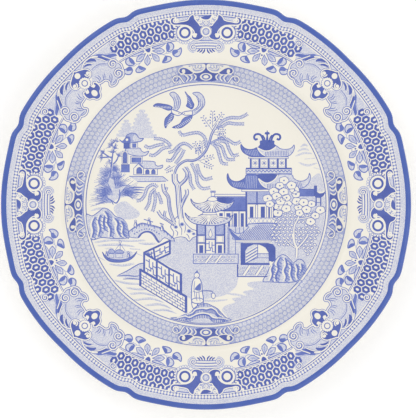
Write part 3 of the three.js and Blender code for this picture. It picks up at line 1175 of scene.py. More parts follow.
def draw_cartouche(band):
    """One side of a cartouche: scrolled leaf, dark swan's-neck scroll, shell and open volute."""
    band.level = 1
    ground = [(4, 91.2), (10, 91.2), (12.3, 90.2), (12.4, 86.6), (11.2, 84.6), (10.2, 80.5), (4, 80.5)]
    band.fill(planes(ground), WASH_INK, curve=False)
    leaf = [(0.3, 90.6), (0.25, 88.8), (0.9, 87.2), (2.2, 86), (4, 85.6), (5.5, 86), (6.3, 87.1),
            (7, 88.4), (7.9, 89.3), (9, 90.2), (9.6, 91.2), (7, 91.3), (4, 91.3), (1.2, 91.3)]
    inside = [(1, 90.2), (0.8, 88.9), (1.4, 87.7), (2.5, 86.9), (4, 86.6), (5, 87), (5.7, 88.2),
              (6.4, 89.4), (7.2, 90.4), (6.9, 90.9), (4, 90.9), (1.4, 90.9)]
    band.level = 2
    band.fill(planes(leaf), CREAM_INK)
    band.fill(planes(inside), WASH_INK)
    band.level = 3
    for angle, radius, size in ((1.3, 90, 0.85), (2.6, 89.7, 0.75), (3.75, 90.1, 0.6), (6.1, 89.7, 0.75)):
        band.disc(plane(angle, radius), size, CREAM_INK)
    curls = (((1, 88.9), (1.8, 88.2), (2.8, 87.9), (4, 87.9), (4.9, 88.8), (4.8, 90.4)),
             ((2.6, 89.4), (3.2, 88.6), (4, 88.9), (4.1, 89.8)), ((5.4, 90.5), (5.3, 89.4), (5.8, 88.4)))
    for curl in curls:
        band.line(planes(curl), 0.5, CREAM_INK)
    neck = [(5.7, 86.1), (6.5, 87.2), (7.4, 88.4), (8.4, 89.4), (9.5, 89.9), (10.6, 89.7), (11.2, 88.9),
            (11.3, 87.8), (10.8, 86.8), (10, 86.7), (10.3, 87.7), (10, 88.7), (9, 88.7), (8.9, 87.4),
            (9.5, 86.3), (8.8, 85.6), (7.4, 85.3), (6, 85.5)]
    band.level = 2
    band.line(planes(neck), 1.1, CREAM_INK, closed=True)
    band.fill(planes(neck), DEEP_INK)
    band.level = 3
    band.disc(plane(9.55, 88), 1.05, CREAM_INK)
    band.line(planes([(9, 87.6), (9.4, 86.6), (10.2, 86.1), (11, 86.2)]), 0.7, CREAM_INK)
    ribs = (((5.3, 84.9), (4.6, 83.9), (4.6, 82.5), (5.4, 81.4)),
            ((7.3, 84.9), (6.5, 83.9), (6.4, 82.4), (7.5, 81.1)),
            ((9.1, 84.9), (8.3, 84), (8.1, 82.6), (9.1, 81)))
    for rib in ribs:
        band.level = 3
        band.line(planes(rib), 0.65, CREAM_INK)
        band.level = 2
        band.line(planes([(angle + 0.75, radius) for angle, radius in rib]), 0.8, LINE_INK, taper=0.5)
    volute = [(10.1, 80.4), (10.6, 81.5), (11, 82.8), (11.4, 84.2), (12.2, 85.3), (13.2, 85.7),
              (14.3, 85.2), (14.9, 84), (14.8, 82.7), (14.2, 81.6), (13.4, 81.3), (13, 82)]
    band.level = 2
    band.line(planes(volute), 1.5, LINE_INK)
    band.line(planes([(12.1, 84.4), (12.5, 83.2), (13.2, 82.4)]), 0.8, LINE_INK)
    band.line(planes([(13.1, 84.4), (13.9, 83.9), (14, 82.8)]), 0.7, LINE_INK)
    band.level = 3
    band.line(planes(volute), 0.75, CREAM_INK)
    band.disc(plane(11.7, 86.5), 0.5, DEEP_INK, sides=8)


def build_shoulder_band():
    """The band as three pieces: the tinted ground with its edge lines, the net, and the cartouches."""
    band = Print()
    step = 0.5
    band.strip(BAND_INNER, BAND_OUTER, WASH_INK, step=step)
    band.strip(BAND_INNER, BAND_INNER + 0.35, LINE_INK, step=step)
    band.strip(BAND_OUTER - 0.45, BAND_OUTER, LINE_INK, step=step)
    band.lay("shoulder_ground", "shoulder_print")
    band = Print(ON_AXES)
    draw_net(band)
    band.lay("shoulder_net", "shoulder_print")
    band = Print(ON_AXES)
    draw_medallion(band)
    band.copies = BOTH_SIDES
    draw_cartouche(band)
    band.lay("shoulder_cartouches", "shoulder_print")


build_shoulder_band()

# ---------------------------------------------------------------- the garden scene in the well

# Places in the scene are millimetres to the right of the plate's axis and above it.
CIRCLE_LINE_RADIUS = 78.05


def draw_ground(scene):
    """The pale shaded ground and water, and the thin circle round the scene."""
    scene.ring((0, 0), CIRCLE_LINE_RADIUS, 0.6, LINE_INK, sides=240)
    grounds = (
        [(-32, -36), (-23.5, -31.5), (-23, -24), (-16, -21.5), (-8, -19), (22, -19), (22, -39),
         (20.6, -50), (18.5, -54.5), (12, -59), (4, -60.5), (0, -61.5), (-8, -61.5), (-13.4, -60),
         (-17.5, -58), (-17.5, -46), (-24, -40)],
        [(31, -50), (61.5, -49.6), (56, -54), (49, -60), (40, -66.3), (30, -71.3), (18, -75.2),
         (14, -73), (10.5, -68.5), (13, -65.5), (19, -63.5), (17, -61), (26, -59.5), (24, -56.5),
         (31, -55), (27, -52.5)],
        [(44, -13), (44, -36), (49, -33), (53, -33), (57, -37), (62, -36), (65, -40), (68.5, -36),
         (73, -26), (76, -15), (77.3, -4), (77.2, 5), (72, 6), (66, 0), (58, -6)],
        [(62, 10), (66, 13), (69, 17.5), (73, 20.3), (75, 18), (76.6, 9), (70, 9)],
        [(-60, -2), (-56, 1.5), (-52, 2), (-48, -1), (-43, -5.5), (-46, -9), (-54, -9.5), (-58, -7)],
    )
    for ground in grounds:
        scene.fill(ground, TONE_INK)
    ripples = (((-75, -4), (-69, -2.5), (-63, -3)), ((-77, -8), (-74, -9)), ((-76, 0), (-71, -0.5)),
               ((-73, -24.5), (-62, -23), (-50, -23.5), (-40, -23)),
               ((-71, -26.5), (-58, -26), (-47, -27)), ((-44, -25), (-38, -25.5), (-33, -25)),
               ((-66, -28.5), (-61, -28)), ((-50, -28.5), (-43, -29)), ((-70, -34), (-66.5, -36)),
               ((-63, -38.7), (-54, -39.5), (-47, -38)), ((-47, -31), (-42, -33)),
               ((-60, -49), (-52, -51), (-43, -51.5)), ((-52, -54), (-44, -55), (-37, -54.5)),
               ((-50, -58), (-41, -57.5), (-33, -59.5)), ((-47, -62), (-36, -61), (-28, -63.5)),
               ((-40, -65.5), (-30, -64.8), (-23, -67.5)), ((-35, -68.7), (-26, -68.5), (-20, -70.5)),
               ((60, 27.5), (66, 25.5), (72, 27)), ((58, 31.4), (64, 33.6), (69, 33)),
               ((70, 24), (74, 23)), ((59.5, 34.6), (63.5, 36.2), (67, 35.2)),
               ((61.5, 37.4), (64, 39), (66.4, 38)), ((64, 29.6), (71, 30.2)),
               ((-10, -64), (-4, -62.6), (6, -62.6), (14, -61.8)), ((12, -57.5), (20, -58.6), (27, -60)))
    for ripple in ripples:
        scene.line(ripple, 1.5, TONE_INK, taper=0.7)
    scene.level = 1
    for ripple in ripples[3:17]:
        scene.line(moved(ripple, 1, -0.5), 0.35, WASH_INK, taper=0.5)


def draw_eave(scene, left, right, bottom, top):
    """A pale board under a roof, with a line along its bottom."""
    scene.box(left, bottom, right, top, CREAM_INK)
    for height in (bottom, top):
        scene.straight([(left, height), (right, height)], 0.4, LINE_INK)
    for end in (left, right):
        scene.straight([(end, bottom), (end, top)], 0.35, LINE_INK)


def draw_finial(scene, middle, base):
    """The scrolled finial on the top roof."""
    for side in (1, -1):
        scroll = [(2.4, 0), (3, 2.4), (4.2, 4.6), (6, 5.3), (7.9, 4.7), (8.5, 3), (7.6, 1.7), (6.2, 2.2)]
        scene.line([(middle + side * x, base + y) for x, y in scroll], 1.35, DEEP_INK)
        prong = [(1.3, 0), (1.8, 2.6), (3.1, 4.7)]
        scene.line([(middle + side * x, base + y) for x, y in prong], 0.9, DEEP_INK, taper=0.4)
    club = [(-0.9, 0), (-0.5, 4.6), (-1.6, 5.2), (-1.3, 6.5), (-0.5, 6.6), (0, 7.9), (0.5, 6.6),
            (1.3, 6.5), (1.6, 5.2), (0.5, 4.6), (0.9, 0)]
    scene.fill(moved(club, middle, base), DEEP_INK)


def draw_pagoda_roof(scene, dark, cap, pale, lips, ribs, shading):
    """A swept roof: its shaded side, the dark hollow under the ridge, and its pale ribbed side."""
    scene.level = 2
    scene.shape(dark, LINE_INK, 0.45, DEEP_INK)
    scene.shape(pale, TONE_INK, 0.5)
    scene.fill(cap, DEEP_INK)
    scene.level = 3
    scene.lines(lips, 0.65, CREAM_INK)
    for top, bottom in ribs:
        scene.straight([top, bottom], 0.36, LINE_INK)
    for top, bottom in shading:
        scene.straight([top, bottom], 0.42, WASH_INK)
    scene.level = 2


def draw_pagoda_top(scene):
    """The pavilion's finial, its upper roof, and the balcony with crossed lattices."""
    scene.level = 2
    draw_finial(scene, 39.8, 40.6)
    draw_pagoda_roof(
        scene,
        dark=[(22.8, 39.2), (22.6, 37), (24, 34.2), (27, 32.2), (30, 31.4), (38, 31.2), (36, 33),
              (34.4, 35), (33, 37), (31, 36.2), (28, 35.9), (25.5, 36.6), (24, 37.8)],
        cap=[(33.6, 37), (35, 39), (35.6, 41.7), (43.9, 41.7), (44.4, 39.6), (45.7, 38), (43.5, 36.4),
             (41, 35.5), (38, 35.3), (36, 35.9)],
        pale=[(33.2, 37), (36, 36), (38, 35.3), (41, 35.5), (43.5, 36.6), (45.6, 38.2), (48, 36.6),
              (51, 35.9), (54, 36.2), (56, 37.2), (57.2, 38.8), (57.5, 37), (56.5, 34.3), (54.4, 32),
              (51, 31.2), (38, 31.2), (36.2, 33), (34.4, 35)],
        lips=[[(33.4, 37), (36, 35.7), (38.3, 34.9), (41.2, 35.1), (43.6, 36.2), (45.6, 37.8)],
              [(33.6, 36.6), (34.8, 34.6), (36.6, 32.8), (38.6, 31.8)]],
        ribs=[((39 + 1.02 * i, 34.4 + 0.06 * i), (38.5 + 1.08 * i, 31.7)) for i in range(15)],
        shading=[((25.2 + 1.1 * i, 35.6), (26.4 + 1.1 * i, 32.9 - 0.3 * min(i, 4))) for i in range(8)])
    draw_eave(scene, 27.6, 53.6, 30, 31)
    for x in (28.5, 34.2, 40.2, 46.1, 51.4):
        scene.box(x, 23.8, x + 1.15, 30, DEEP_INK)
    for x in (32, 37.8, 43.8, 49.3):
        for step in range(4):
            turn = math.pi * step / 4
            arm = (1.75 * math.cos(turn), 1.75 * math.sin(turn))
            scene.straight([(x - arm[0], 27 - arm[1]), (x + arm[0], 27 + arm[1])], 0.32, LINE_INK)
        scene.frame(x - 2.1, 24.6, x + 2.1, 29.4, 0.3, WASH_INK)
    scene.box(26, 20.1, 55.7, 23.2, TONE_INK)
    scene.box(26, 23.1, 55.7, 24, DEEP_INK)
    zigzag = [(26.4 + 1.2 * i, 21.2 + 1.2 * (i % 2)) for i in range(25)]
    scene.straight(zigzag, 0.5, LINE_INK)
    scene.frame(26, 20.1, 55.7, 23.2, 0.45, LINE_INK)


def draw_pagoda_storey(scene):
    """The pavilion's lower roof, over a storey with doors and a railing."""
    draw_pagoda_roof(
        scene,
        dark=[(14.2, 20.2), (13.6, 18), (14.3, 15), (16.5, 12.2), (20, 10.6), (24, 10), (39.5, 10),
              (37.2, 11.8), (35.3, 14), (34, 17), (33, 19.5), (26.6, 19.6), (25.4, 17.6), (23, 15.9),
              (20, 15), (17.2, 15.6), (15.2, 17.4)],
        cap=[(34, 17), (33.2, 19.7), (46.6, 19.7), (45.4, 17.4), (43, 15.6), (40, 14.5), (37, 15)],
        pale=[(34, 17), (37, 15.2), (40, 14.5), (43, 15.6), (45, 17.4), (46.4, 19.6), (55.3, 19.6),
              (57, 17.2), (59.5, 15.6), (62.5, 15.3), (65, 16.3), (66.5, 17.8), (67.3, 20.3), (68, 17.2),
              (66.6, 13.8), (64, 11.4), (60.5, 10.4), (57, 10.1), (39.5, 10), (37.2, 11.8), (35.3, 14)],
        lips=[[(34.1, 17), (37, 14.8), (40, 14), (43.2, 15.2), (45.3, 17), (46.8, 19.4)],
              [(34.1, 16.8), (35.5, 14), (37.5, 11.9), (40, 10.7)]],
        ribs=[((40 + 1.02 * i, 13.4 + 0.08 * i), (40 + 1.08 * i, 10.7)) for i in range(22)],
        shading=[((17.2 + 1.15 * i, 14.5), (18.4 + 1.15 * i, 11.6 - 0.1 * i)) for i in range(7)]
        + [((26.4 + 1.1 * i, 18.7), (25.8 + 1.15 * i, 10.8)) for i in range(7)])
    draw_eave(scene, 23.2, 48, 8.5, 9.9)
    scene.box(27, -14.5, 46, 8.3, CREAM_INK)
    scene.box(27, 1, 46, 8.2, WASH_INK)
    scene.box(25.6, -14.5, 26.9, 8.4, DEEP_INK)
    scene.box(27, 0.1, 46, 1, DEEP_INK)
    scene.box(32.7, -0.2, 33.6, 8.3, DEEP_INK)
    for left, right in ((28.5, 30.8), (35.6, 38.3), (40.5, 41.6), (43.6, 45)):
        scene.box(left, -8.4, right, -1.3, DEEP_INK)
    for x in (32.2, 33.6, 39.4, 42.6):
        scene.straight([(x, 0), (x, -8.4)], 0.4, LINE_INK)
    for y in (-8.7, -12.4):
        scene.straight([(27.5, y), (46.5, y)], 0.45, LINE_INK)
    for i in range(7):
        x = 27.6 + 2.7 * i
        scene.straight([(x, -8.7), (x + 2.7, -12.4)], 0.35, WASH_INK)
        scene.straight([(x + 2.7, -8.7), (x, -12.4)], 0.35, WASH_INK)


def draw_wing(scene):
    """The low wing between the pavilion and the tea house, with its ridge and flower pot."""
    scene.level = 1
    scene.fill([(7, 5), (26, 5), (26, -4.3), (9, -4.3)], LINE_INK, curve=False)
    scene.fill([(7.6, 4.5), (17.8, 4.5), (16.6, 2.3), (14, 1), (11, 0.8), (8.8, 2)], DEEP_INK)
    scene.straight([(11, -4), (26, -4)], 0.9, DEEP_INK)
    for i in range(8):
        scene.straight([(18.4 + i, 4.5), (17.4 + i, -3.2)], 0.4, WASH_INK)
    scene.box(8, -14.5, 26, -4.4, CREAM_INK)
    for left, right, low, high in ((8.6, 10.9, -8.7, -5.5), (13.2, 15.9, -8.5, -5.5),
                                   (18.1, 20.2, -14.4, -5.6), (22.6, 24.6, -14.4, -5.6),
                                   (14.3, 15.7, -14.4, -10.3)):
        scene.box(left, low, right, high, DEEP_INK)
    for x in (12, 16.9, 17.5, 21.2, 21.8):
        scene.straight([(x, -4.5), (x, -14.4)], 0.35, LINE_INK)
    scene.level = 2
    draw_eave(scene, 5.6, 26, 5.3, 6.7)
    draw_eave(scene, 3.4, 5.7, 5.4, 8.4)
    draw_eave(scene, 2.9, 6.2, 8, 8.9)


def draw_ribbed_roof(scene, outline, ridge, eave, ribs):
    """A tent-shaped roof with dark and pale ribs that sweep out from its ridge to its eave.

    ridge is its left end, right end and height. eave is the same, with how far its ends rise.
    """
    scene.shape(outline, TONE_INK, 0.55, DEEP_INK)
    for i in range(ribs):
        share = i / (ribs - 1)
        start = (ridge[0] + (ridge[1] - ridge[0]) * share, ridge[2])
        end = (eave[0] + (eave[1] - eave[0]) * share, eave[2] + eave[3] * (2 * share - 1) ** 2)
        middle = (start[0] + 0.4 * (end[0] - start[0]), start[1] + 0.66 * (end[1] - start[1]))
        shift = 0.8 if share < 0.5 else -0.8
        scene.line([start, middle, end], 0.62, DEEP_INK)
        scene.level += 1
        scene.line(moved([start, middle, end], shift, 0.2), 0.6, CREAM_INK, taper=0.3)
        scene.level -= 1


# The key pattern's strokes, in a panel whose sides run from 0 to 1.
KEY_FRET = (((0, 0.72), (0.35, 0.72), (0.35, 0.9)),
            ((0.35, 0.72), (0.35, 0.4), (0.7, 0.4), (0.7, 0.6), (1, 0.6)), ((0.7, 0.6), (0.7, 0.85)),
            ((0, 0.2), (0.5, 0.2), (0.5, 0.4)), ((0.75, 0.4), (0.75, 0.1), (1, 0.1)))


def draw_tea_house(scene):
    """The tea house in the middle, under two tent-shaped roofs."""
    scene.level = 3
    upper = [(-9.8, 3.7), (-9.5, 1.8), (-8, -0.4), (-5.5, -2.6), (-2.5, -4.2), (-1, -4.9), (2.5, -5.1),
             (6, -4.9), (9, -4.1), (14.5, -2.5), (17.2, 0), (18.5, 2.8), (16.9, 1.6), (14.8, 0.8),
             (12, 0.7), (9, 1.5), (7, 2.9), (4.2, 2.2), (1.3, 3), (0, 2), (-3, 0.9), (-6, 0.8),
             (-8.3, 1.7)]
    draw_ribbed_roof(scene, upper, (1.4, 7, 2.3), (-7.8, 16.2, -4.6, 4.4), 13)
    lower = [(-13.6, -5.4), (-12.8, -8), (-10.7, -10.4), (-8.5, -11.9), (-6, -12.7), (0, -13.4),
             (6, -13.6), (10, -13), (15, -11.2), (17.6, -6.8), (15, -8.4), (12, -8.9), (8.5, -8.2),
             (6.2, -6.4), (-1.9, -6.2), (-4, -6.9), (-6.5, -8.2), (-9, -8.4), (-11.7, -7.5)]
    draw_ribbed_roof(scene, lower, (-1.8, 6, -6.9), (-11.6, 16, -12.9, 4.4), 15)
    scene.level = 5
    draw_eave(scene, -2.2, 6.6, -6.6, -5.1)
    scene.shape([(1, 2.9), (2.2, 4.6), (4.3, 5.2), (6.2, 4.6), (7.3, 2.9), (4.2, 2.1)], CREAM_INK, 0.4)
    scene.level = 1
    scene.box(12.5, -32, 20, -13, TONE_INK)
    for x in (14.3, 15, 19.2):
        scene.straight([(x, -32), (x, -14.6)], 0.45, LINE_INK)
    scene.box(-6, -31.6, 12.4, -12.8, CREAM_INK)
    scene.box(-6, -19.8, 12.4, -12.8, WASH_INK)
    scene.level = 2
    scene.box(0, -22.4, 5.7, -12.9, TONE_INK)
    for left, right in ((-4.4, -1.8), (7.7, 10.4)):
        scene.box(left, -31.5, right, -26.4, DEEP_INK)
    for x in (-6.4, -0.9, 5.6, 11.5):
        scene.box(x, -31.6, x + 1.05, -12.7, DEEP_INK)
    for left, right in ((-6, 0), (6, 12.2)):
        for y in (-19.8, -25):
            scene.straight([(left, y), (right, y)], 0.85, DEEP_INK)
        scene.frame(left + 1.1, -24.4, right - 1.5, -20.4, 0.3, WASH_INK)
    scene.straight([(0, -22.5), (5.8, -22.5)], 0.85, DEEP_INK)
    for path in KEY_FRET:
        panel = [(0.2, -31.5), (5.5, -31.5), (5.5, -23), (0.2, -23)]
        scene.straight(in_panel(panel, path), 0.6, LINE_INK)
    scene.level = 3
    scene.leaf((2.9, -21.3), (2.9, -15.8), 2.3, CREAM_INK, 0.35, widest=0.3)
    scene.level = 1
    scene.box(-8.2, -38.3, 21, -32.2, TONE_INK)
    scene.frame(-8.2, -38.3, 21, -32.2, 0.5)
    draw_stones(scene, -7.2, 20.4, -37.4, -33, 2.2)
    scene.level = 2
    for x in (3.6, 10):
        scene.piped([(x, -32.8), (x - 3.9, -38)], 1.2, 1.9, curve=False)


def draw_stones(scene, left, right, bottom, top, pitch):
    """Rows of small round stones in a wall."""
    rows = max(2, round((top - bottom) / pitch))
    for row in range(rows):
        y = bottom + (top - bottom) * (row + 0.5) / rows
        count = int((right - left) / pitch)
        for i in range(count):
            x = left + (i + (0.5 if row % 2 else 0.2)) * pitch
            scene.disc((x, y), 0.95, LINE_INK, 10, 0.75)
            scene.level += 1
            scene.disc((x, y), 0.68, CREAM_INK if (i + row) % 3 else TONE_INK, 9, 0.7)
            scene.level -= 1


def draw_gate(scene):
    """The gatehouse in front of the pavilion: hatched roof, arched opening and stone steps."""
    scene.level = 1
    scene.box(20, -19, 28.5, -14.5, TONE_INK)
    for x in (21.8, 24.4):
        scene.straight([(x, -18.5), (x, -14.6)], 0.45, LINE_INK)
    scene.level = 2
    roof = [(28.5, -12.6), (46, -12.6), (47.5, -22.3), (42, -23), (19.3, -22.7), (17.6, -20.8),
            (16.1, -18.6), (15.5, -15.8), (17.5, -17.2), (19.5, -18.6), (22.5, -18.7), (25, -17.4),
            (27.5, -15)]
    scene.shape(roof, TONE_INK, 0.5)
    scene.fill([(15.5, -15.8), (16.1, -18.6), (17.6, -20.8), (19.3, -22.7), (23, -22.6), (20.4, -20.4),
                (17.9, -18.4)], LINE_INK)
    for i in range(22):
        x = 20.6 + 1.2 * i
        low = (x, -22.5)
        high = between(low, (x + 6.5, -13), min(1, 0.3 + 0.1 * (x - 20), (46.3 - x) / 6.5))
        scene.straight([low, high], 0.5, LINE_INK)
    draw_eave(scene, 19.2, 42.4, -24.3, -23.1)
    block = [(22.5, -24.9), (40, -24.9), (43.6, -25.7), (45.2, -28), (45.3, -36.4), (43.2, -37.3),
             (41.2, -36.6), (41, -39), (22.5, -39)]
    scene.level = 1
    scene.fill(block, DEEP_INK, curve=False)
    scene.level = 2
    opening = [(25.6, -37.9), (25.6, -30), (27.2, -27.6), (31, -25.9), (35, -26.1), (38.6, -27.9),
               (40.6, -31), (40.8, -37.9)]
    scene.fill(opening, TONE_INK, curve=False)
    scene.level = 3
    light = [(33.9, -26.1), (36.8, -27), (39.1, -28.9), (40.2, -31.7), (33.9, -31.7)]
    scene.fill(light, CREAM_INK, curve=False)
    for i in range(4):
        start, end = (25.9, -31.5 - 2 * i), (33.3, -27 - 2 * i)
        scene.straight([start, end], 0.6, CREAM_INK)
        scene.straight(moved([start, end], 0, -0.75), 0.6, LINE_INK)
    scene.straight([(33.6, -26.1), (33.6, -34.6)], 0.5, LINE_INK)
    scene.straight([(33.6, -31.9), (40.6, -31.9)], 0.5, LINE_INK)
    scene.straight([(25.8, -37.9), (33.6, -34.6), (40.8, -34.6)], 0.4, LINE_INK)
    scene.box(22.4, -39.3, 41.4, -38.1, DEEP_INK)
    scene.level = 1
    scene.box(20.6, -46.8, 41, -39.4, TONE_INK)
    draw_stones(scene, 21.6, 40.4, -46, -40.2, 2.3)
    scene.level = 2
    scene.box(20.1, -46.9, 21, -38.8, DEEP_INK)
    scene.straight([(20.2, -46.8), (40, -46.8)], 0.65, DEEP_INK)
    scene.level = 3
    for x in (28.6, 36.8):
        scene.piped([(x, -39.8), (x - 4.1, -46)], 1.4, 2.1, curve=False)


def build_buildings():
    """The ground as one piece, and the buildings on the right and in the middle as another."""
    scene = Print()
    draw_ground(scene)
    scene.lay("scene_ground", "centre_print")
    scene = Print()
    draw_wing(scene)
    draw_pagoda_top(scene)
    draw_pagoda_storey(scene)
    draw_gate(scene)
    draw_tea_house(scene)
    scene.lay("scene_buildings", "centre_print")


build_buildings()

# ---------------------------------------------------------------- trees, rocks and birds

# Strokes that run down to the edge of the scene stop at this radius, clear of the circle line.
SCENE_EDGE = 77


def draw_frond(scene, points):
    """A hanging strand of the willow: a pale ribbon with pairs of small leaves along it."""
    path = smooth(points, steps=6)
    scene.line(path, 2.3, TONE_INK, curve=False, taper=0.8)
    gap, waited = 1.0, 0.5
    for start, end in zip(path, path[1:]):
        length = math.dist(start, end)
        while waited < length:
            place = between(start, end, waited / length)
            heading = math.degrees(math.atan2(end[1] - start[1], end[0] - start[0]))
            for side in (1, -1):
                turn = math.radians(heading + 90 * side)
                leaf = (place[0] + 0.72 * math.cos(turn), place[1] + 0.72 * math.sin(turn))
                scene.disc(leaf, 0.7, LINE_INK, 6, 0.4, heading + 50 * side)
            waited += gap
        waited -= length


# The willow's strands from where they leave the tree, and its twigs from foot to tip.
FRONDS = (((-34, 43), (-29, 42.5), (-25, 40.5), (-22.5, 37.5)),
          ((-40, 38.5), (-37, 37), (-32, 38.5), (-27, 39.5)),
          ((-37, 32.5), (-34, 32), (-31, 34), (-28, 36.5), (-23, 37.5)),
          ((-24.5, 33.8), (-21, 35), (-18, 38), (-14.5, 39.8), (-11, 38.5), (-9, 36.5)),
          ((-26, 29), (-22.5, 28.8), (-19.5, 33), (-16, 37.5)), ((-20, 26.5), (-16.5, 31), (-14, 36)),
          ((-17.5, 48), (-15.5, 45.2), (-10, 46.3), (-5, 46.7), (-1.5, 44.5), (0, 41), (0.3, 37)),
          ((-13, 24.5), (-10.5, 19), (-10, 14), (-7.5, 9.5)),
          ((-9.5, 27), (-6.5, 20), (-5.5, 14), (-2.5, 10.5), (2.5, 11)),
          ((-6, 26.5), (-4, 20), (-1, 16.5), (4, 17.5)),
          ((3, 40.5), (7, 37), (9, 31), (10.5, 27), (14.5, 26.5)),
          ((5, 40), (10, 38), (12, 33), (14, 29.5), (19, 29.5)),
          ((8, 41.5), (13, 40.5), (15, 36), (17.5, 32), (21, 32.5)),
          ((8, 43), (12.5, 43), (16, 41), (19, 39.5), (22.5, 41)),
          ((8, 51), (11, 54.5), (16, 56.5), (22, 56.5), (27, 59)),
          ((10, 50), (14, 53), (19, 52.5), (25, 52.5)),
          ((-31.5, 11), (-34, 13), (-38, 11), (-40, 6), (-42.5, 3), (-45.5, 2.5)),
          ((-33, 10.5), (-36, 7), (-37, 1), (-39.5, -3.5)),
          ((-33.5, 9), (-33, 3), (-34, -2), (-34.8, -4.5)), ((-31.5, 8), (-29.5, 3), (-29, 0)))
TWIGS = (((4.4, 48), (-2.2, 57)), ((4.2, 50), (4.4, 60.5)), ((4.6, 51), (10.6, 59)),
         ((4.6, 47), (12.2, 47.6)), ((5, 46), (11.6, 43.8)), ((-2.4, 32.6), (-7.4, 40)),
         ((-2, 33.4), (-2.8, 41)), ((-4.4, 30.6), (-5.4, 36.4)), ((-5, 28.4), (4.6, 31.2)),
         ((-4, 28), (3.8, 24.4)), ((-20, 25.4), (-25.6, 22)))


def draw_twig(scene, foot, tip):
    """A thin twig with pairs of small leaves up its stem."""
    length = math.dist(foot, tip)
    along = ((tip[0] - foot[0]) / length, (tip[1] - foot[1]) / length)
    scene.straight([foot, tip], 0.32, LINE_INK)
    for share in (0.35, 0.55, 0.75, 0.95):
        joint = between(foot, tip, share)
        for side in (1, -1):
            shoot = 2.7 - 1.3 * share
            end = (joint[0] + shoot * (0.7 * along[0] - side * along[1]),
                   joint[1] + shoot * (0.7 * along[1] + side * along[0]))
            scene.straight([joint, end], 0.22, WASH_INK)
            scene.leaf(between(joint, end, 0.45), end, 0.85, LINE_INK, 0)


def draw_willow(scene):
    """The willow: two leaning trunks, knotted roots, and hanging strands."""
    scene.level = 1
    for frond in FRONDS:
        draw_frond(scene, frond)
    for foot, tip in TWIGS:
        draw_twig(scene, foot, tip)
    limbs = (
        (((-28, 13.5), (-27.3, 9), (-24.6, 5), (-23.8, -1), (-22.8, -6), (-20.4, -12)), 1.3),
        (((-25.4, 11.5), (-26, 9.5), (-27, 8.5)), 0.7),
        (((-31.3, -4), (-29, -7.5), (-25, -10), (-20, -13.5)), 1.1), (((-26.5, -4), (-27, -7),
                                                                       (-26, -9.5)), 0.8),
        (((-12.8, 10), (-12.3, 7.3), (-14.2, 3.4), (-16.4, -1.5)), 1.3),
        (((-14.6, 24), (-12.4, 20.5), (-13.2, 16.5), (-17.4, 12.5)), 1.2),
        (((-20.4, 20), (-20.2, 15.5), (-18.6, 12.8), (-17.9, 8), (-17.6, 2), (-17, -4), (-16.4, -9)),
         2.4),
        (((7.5, 52.5), (5.4, 49), (3.6, 45.5), (2, 40), (-0.5, 34.5), (-4.5, 30.3), (-8.5, 28.6),
          (-13, 28.6), (-17.8, 25.6), (-20.2, 21), (-20.2, 16)), 0.75),
        (((12, 43.5), (7, 42), (3, 40)), 0.5), (((5.4, 49), (9, 50.5), (11, 51)), 0.5),
    )
    for points, width in limbs:
        scene.level = 2
        scene.piped(points, width, 1.35 * width + 0.7)
        scene.level = 4
        scene.line(moved(points, -width * 0.22, 0), 0.4, WASH_INK, taper=0.6)
        scene.line(moved(points[1:], width * 0.25, -0.3), 0.45, LINE_INK, taper=0.8)
    roots = [(-19, -8), (-15, -7.5), (-14.2, -10.5), (-12, -13.5), (-9, -16), (-6.3, -17), (-5.5, -20),
             (-8.5, -21.5), (-11, -23.8), (-13.5, -21.5), (-17, -21), (-21.5, -21.8), (-21, -18),
             (-23, -14.5), (-21.5, -12)]
    scene.level = 2
    scene.shape(roots, CREAM_INK, 0.5)
    scene.level = 3
    for knot, size in (((-15.6, -12.8), 0.95), ((-11, -17.2), 1.0), ((-19.6, -14.6), 0.8),
                       ((-8, -19), 0.6)):
        scene.disc(knot, size + 0.6, WASH_INK, 12, 0.85)
        scene.disc(knot, size, DEEP_INK, 10, 0.8)
    strokes = (((-17.4, -9), (-17.4, -13), (-15.8, -16), (-16, -20)),
               ((-20, -16.5), (-18.4, -18.2), (-19, -20.6)),
               ((-13.6, -12.6), (-13.4, -15.6), (-14, -18.4)),
               ((-12.8, -19), (-11.4, -20.4), (-10.8, -22.6)), ((-9.6, -17.6), (-8.2, -17.2)),
               ((-21.5, -13.6), (-20.8, -12.4)))
    for stroke in strokes:
        scene.line(stroke, 0.5, LINE_INK, taper=0.5)


def draw_needles(scene, place, length, turn, spread, count, ink=LINE_INK, bare=0.3):
    """A burst of pine needles that fan out round a place, bare for that share of their length."""
    for i in range(count):
        angle = math.radians(turn + spread * (i / (count - 1) - 0.5))
        size = length * (0.78 + 0.22 * math.sin(5 * i))
        tip = (place[0] + size * math.cos(angle), place[1] + size * math.sin(angle))
        middle = between(place, tip, 0.5)
        bend = (middle[0], middle[1] + abs(0.1 * length * math.cos(angle)) * 0.6)
        scene.line([between(place, tip, bare), bend, tip], 0.32, ink, taper=0.3)


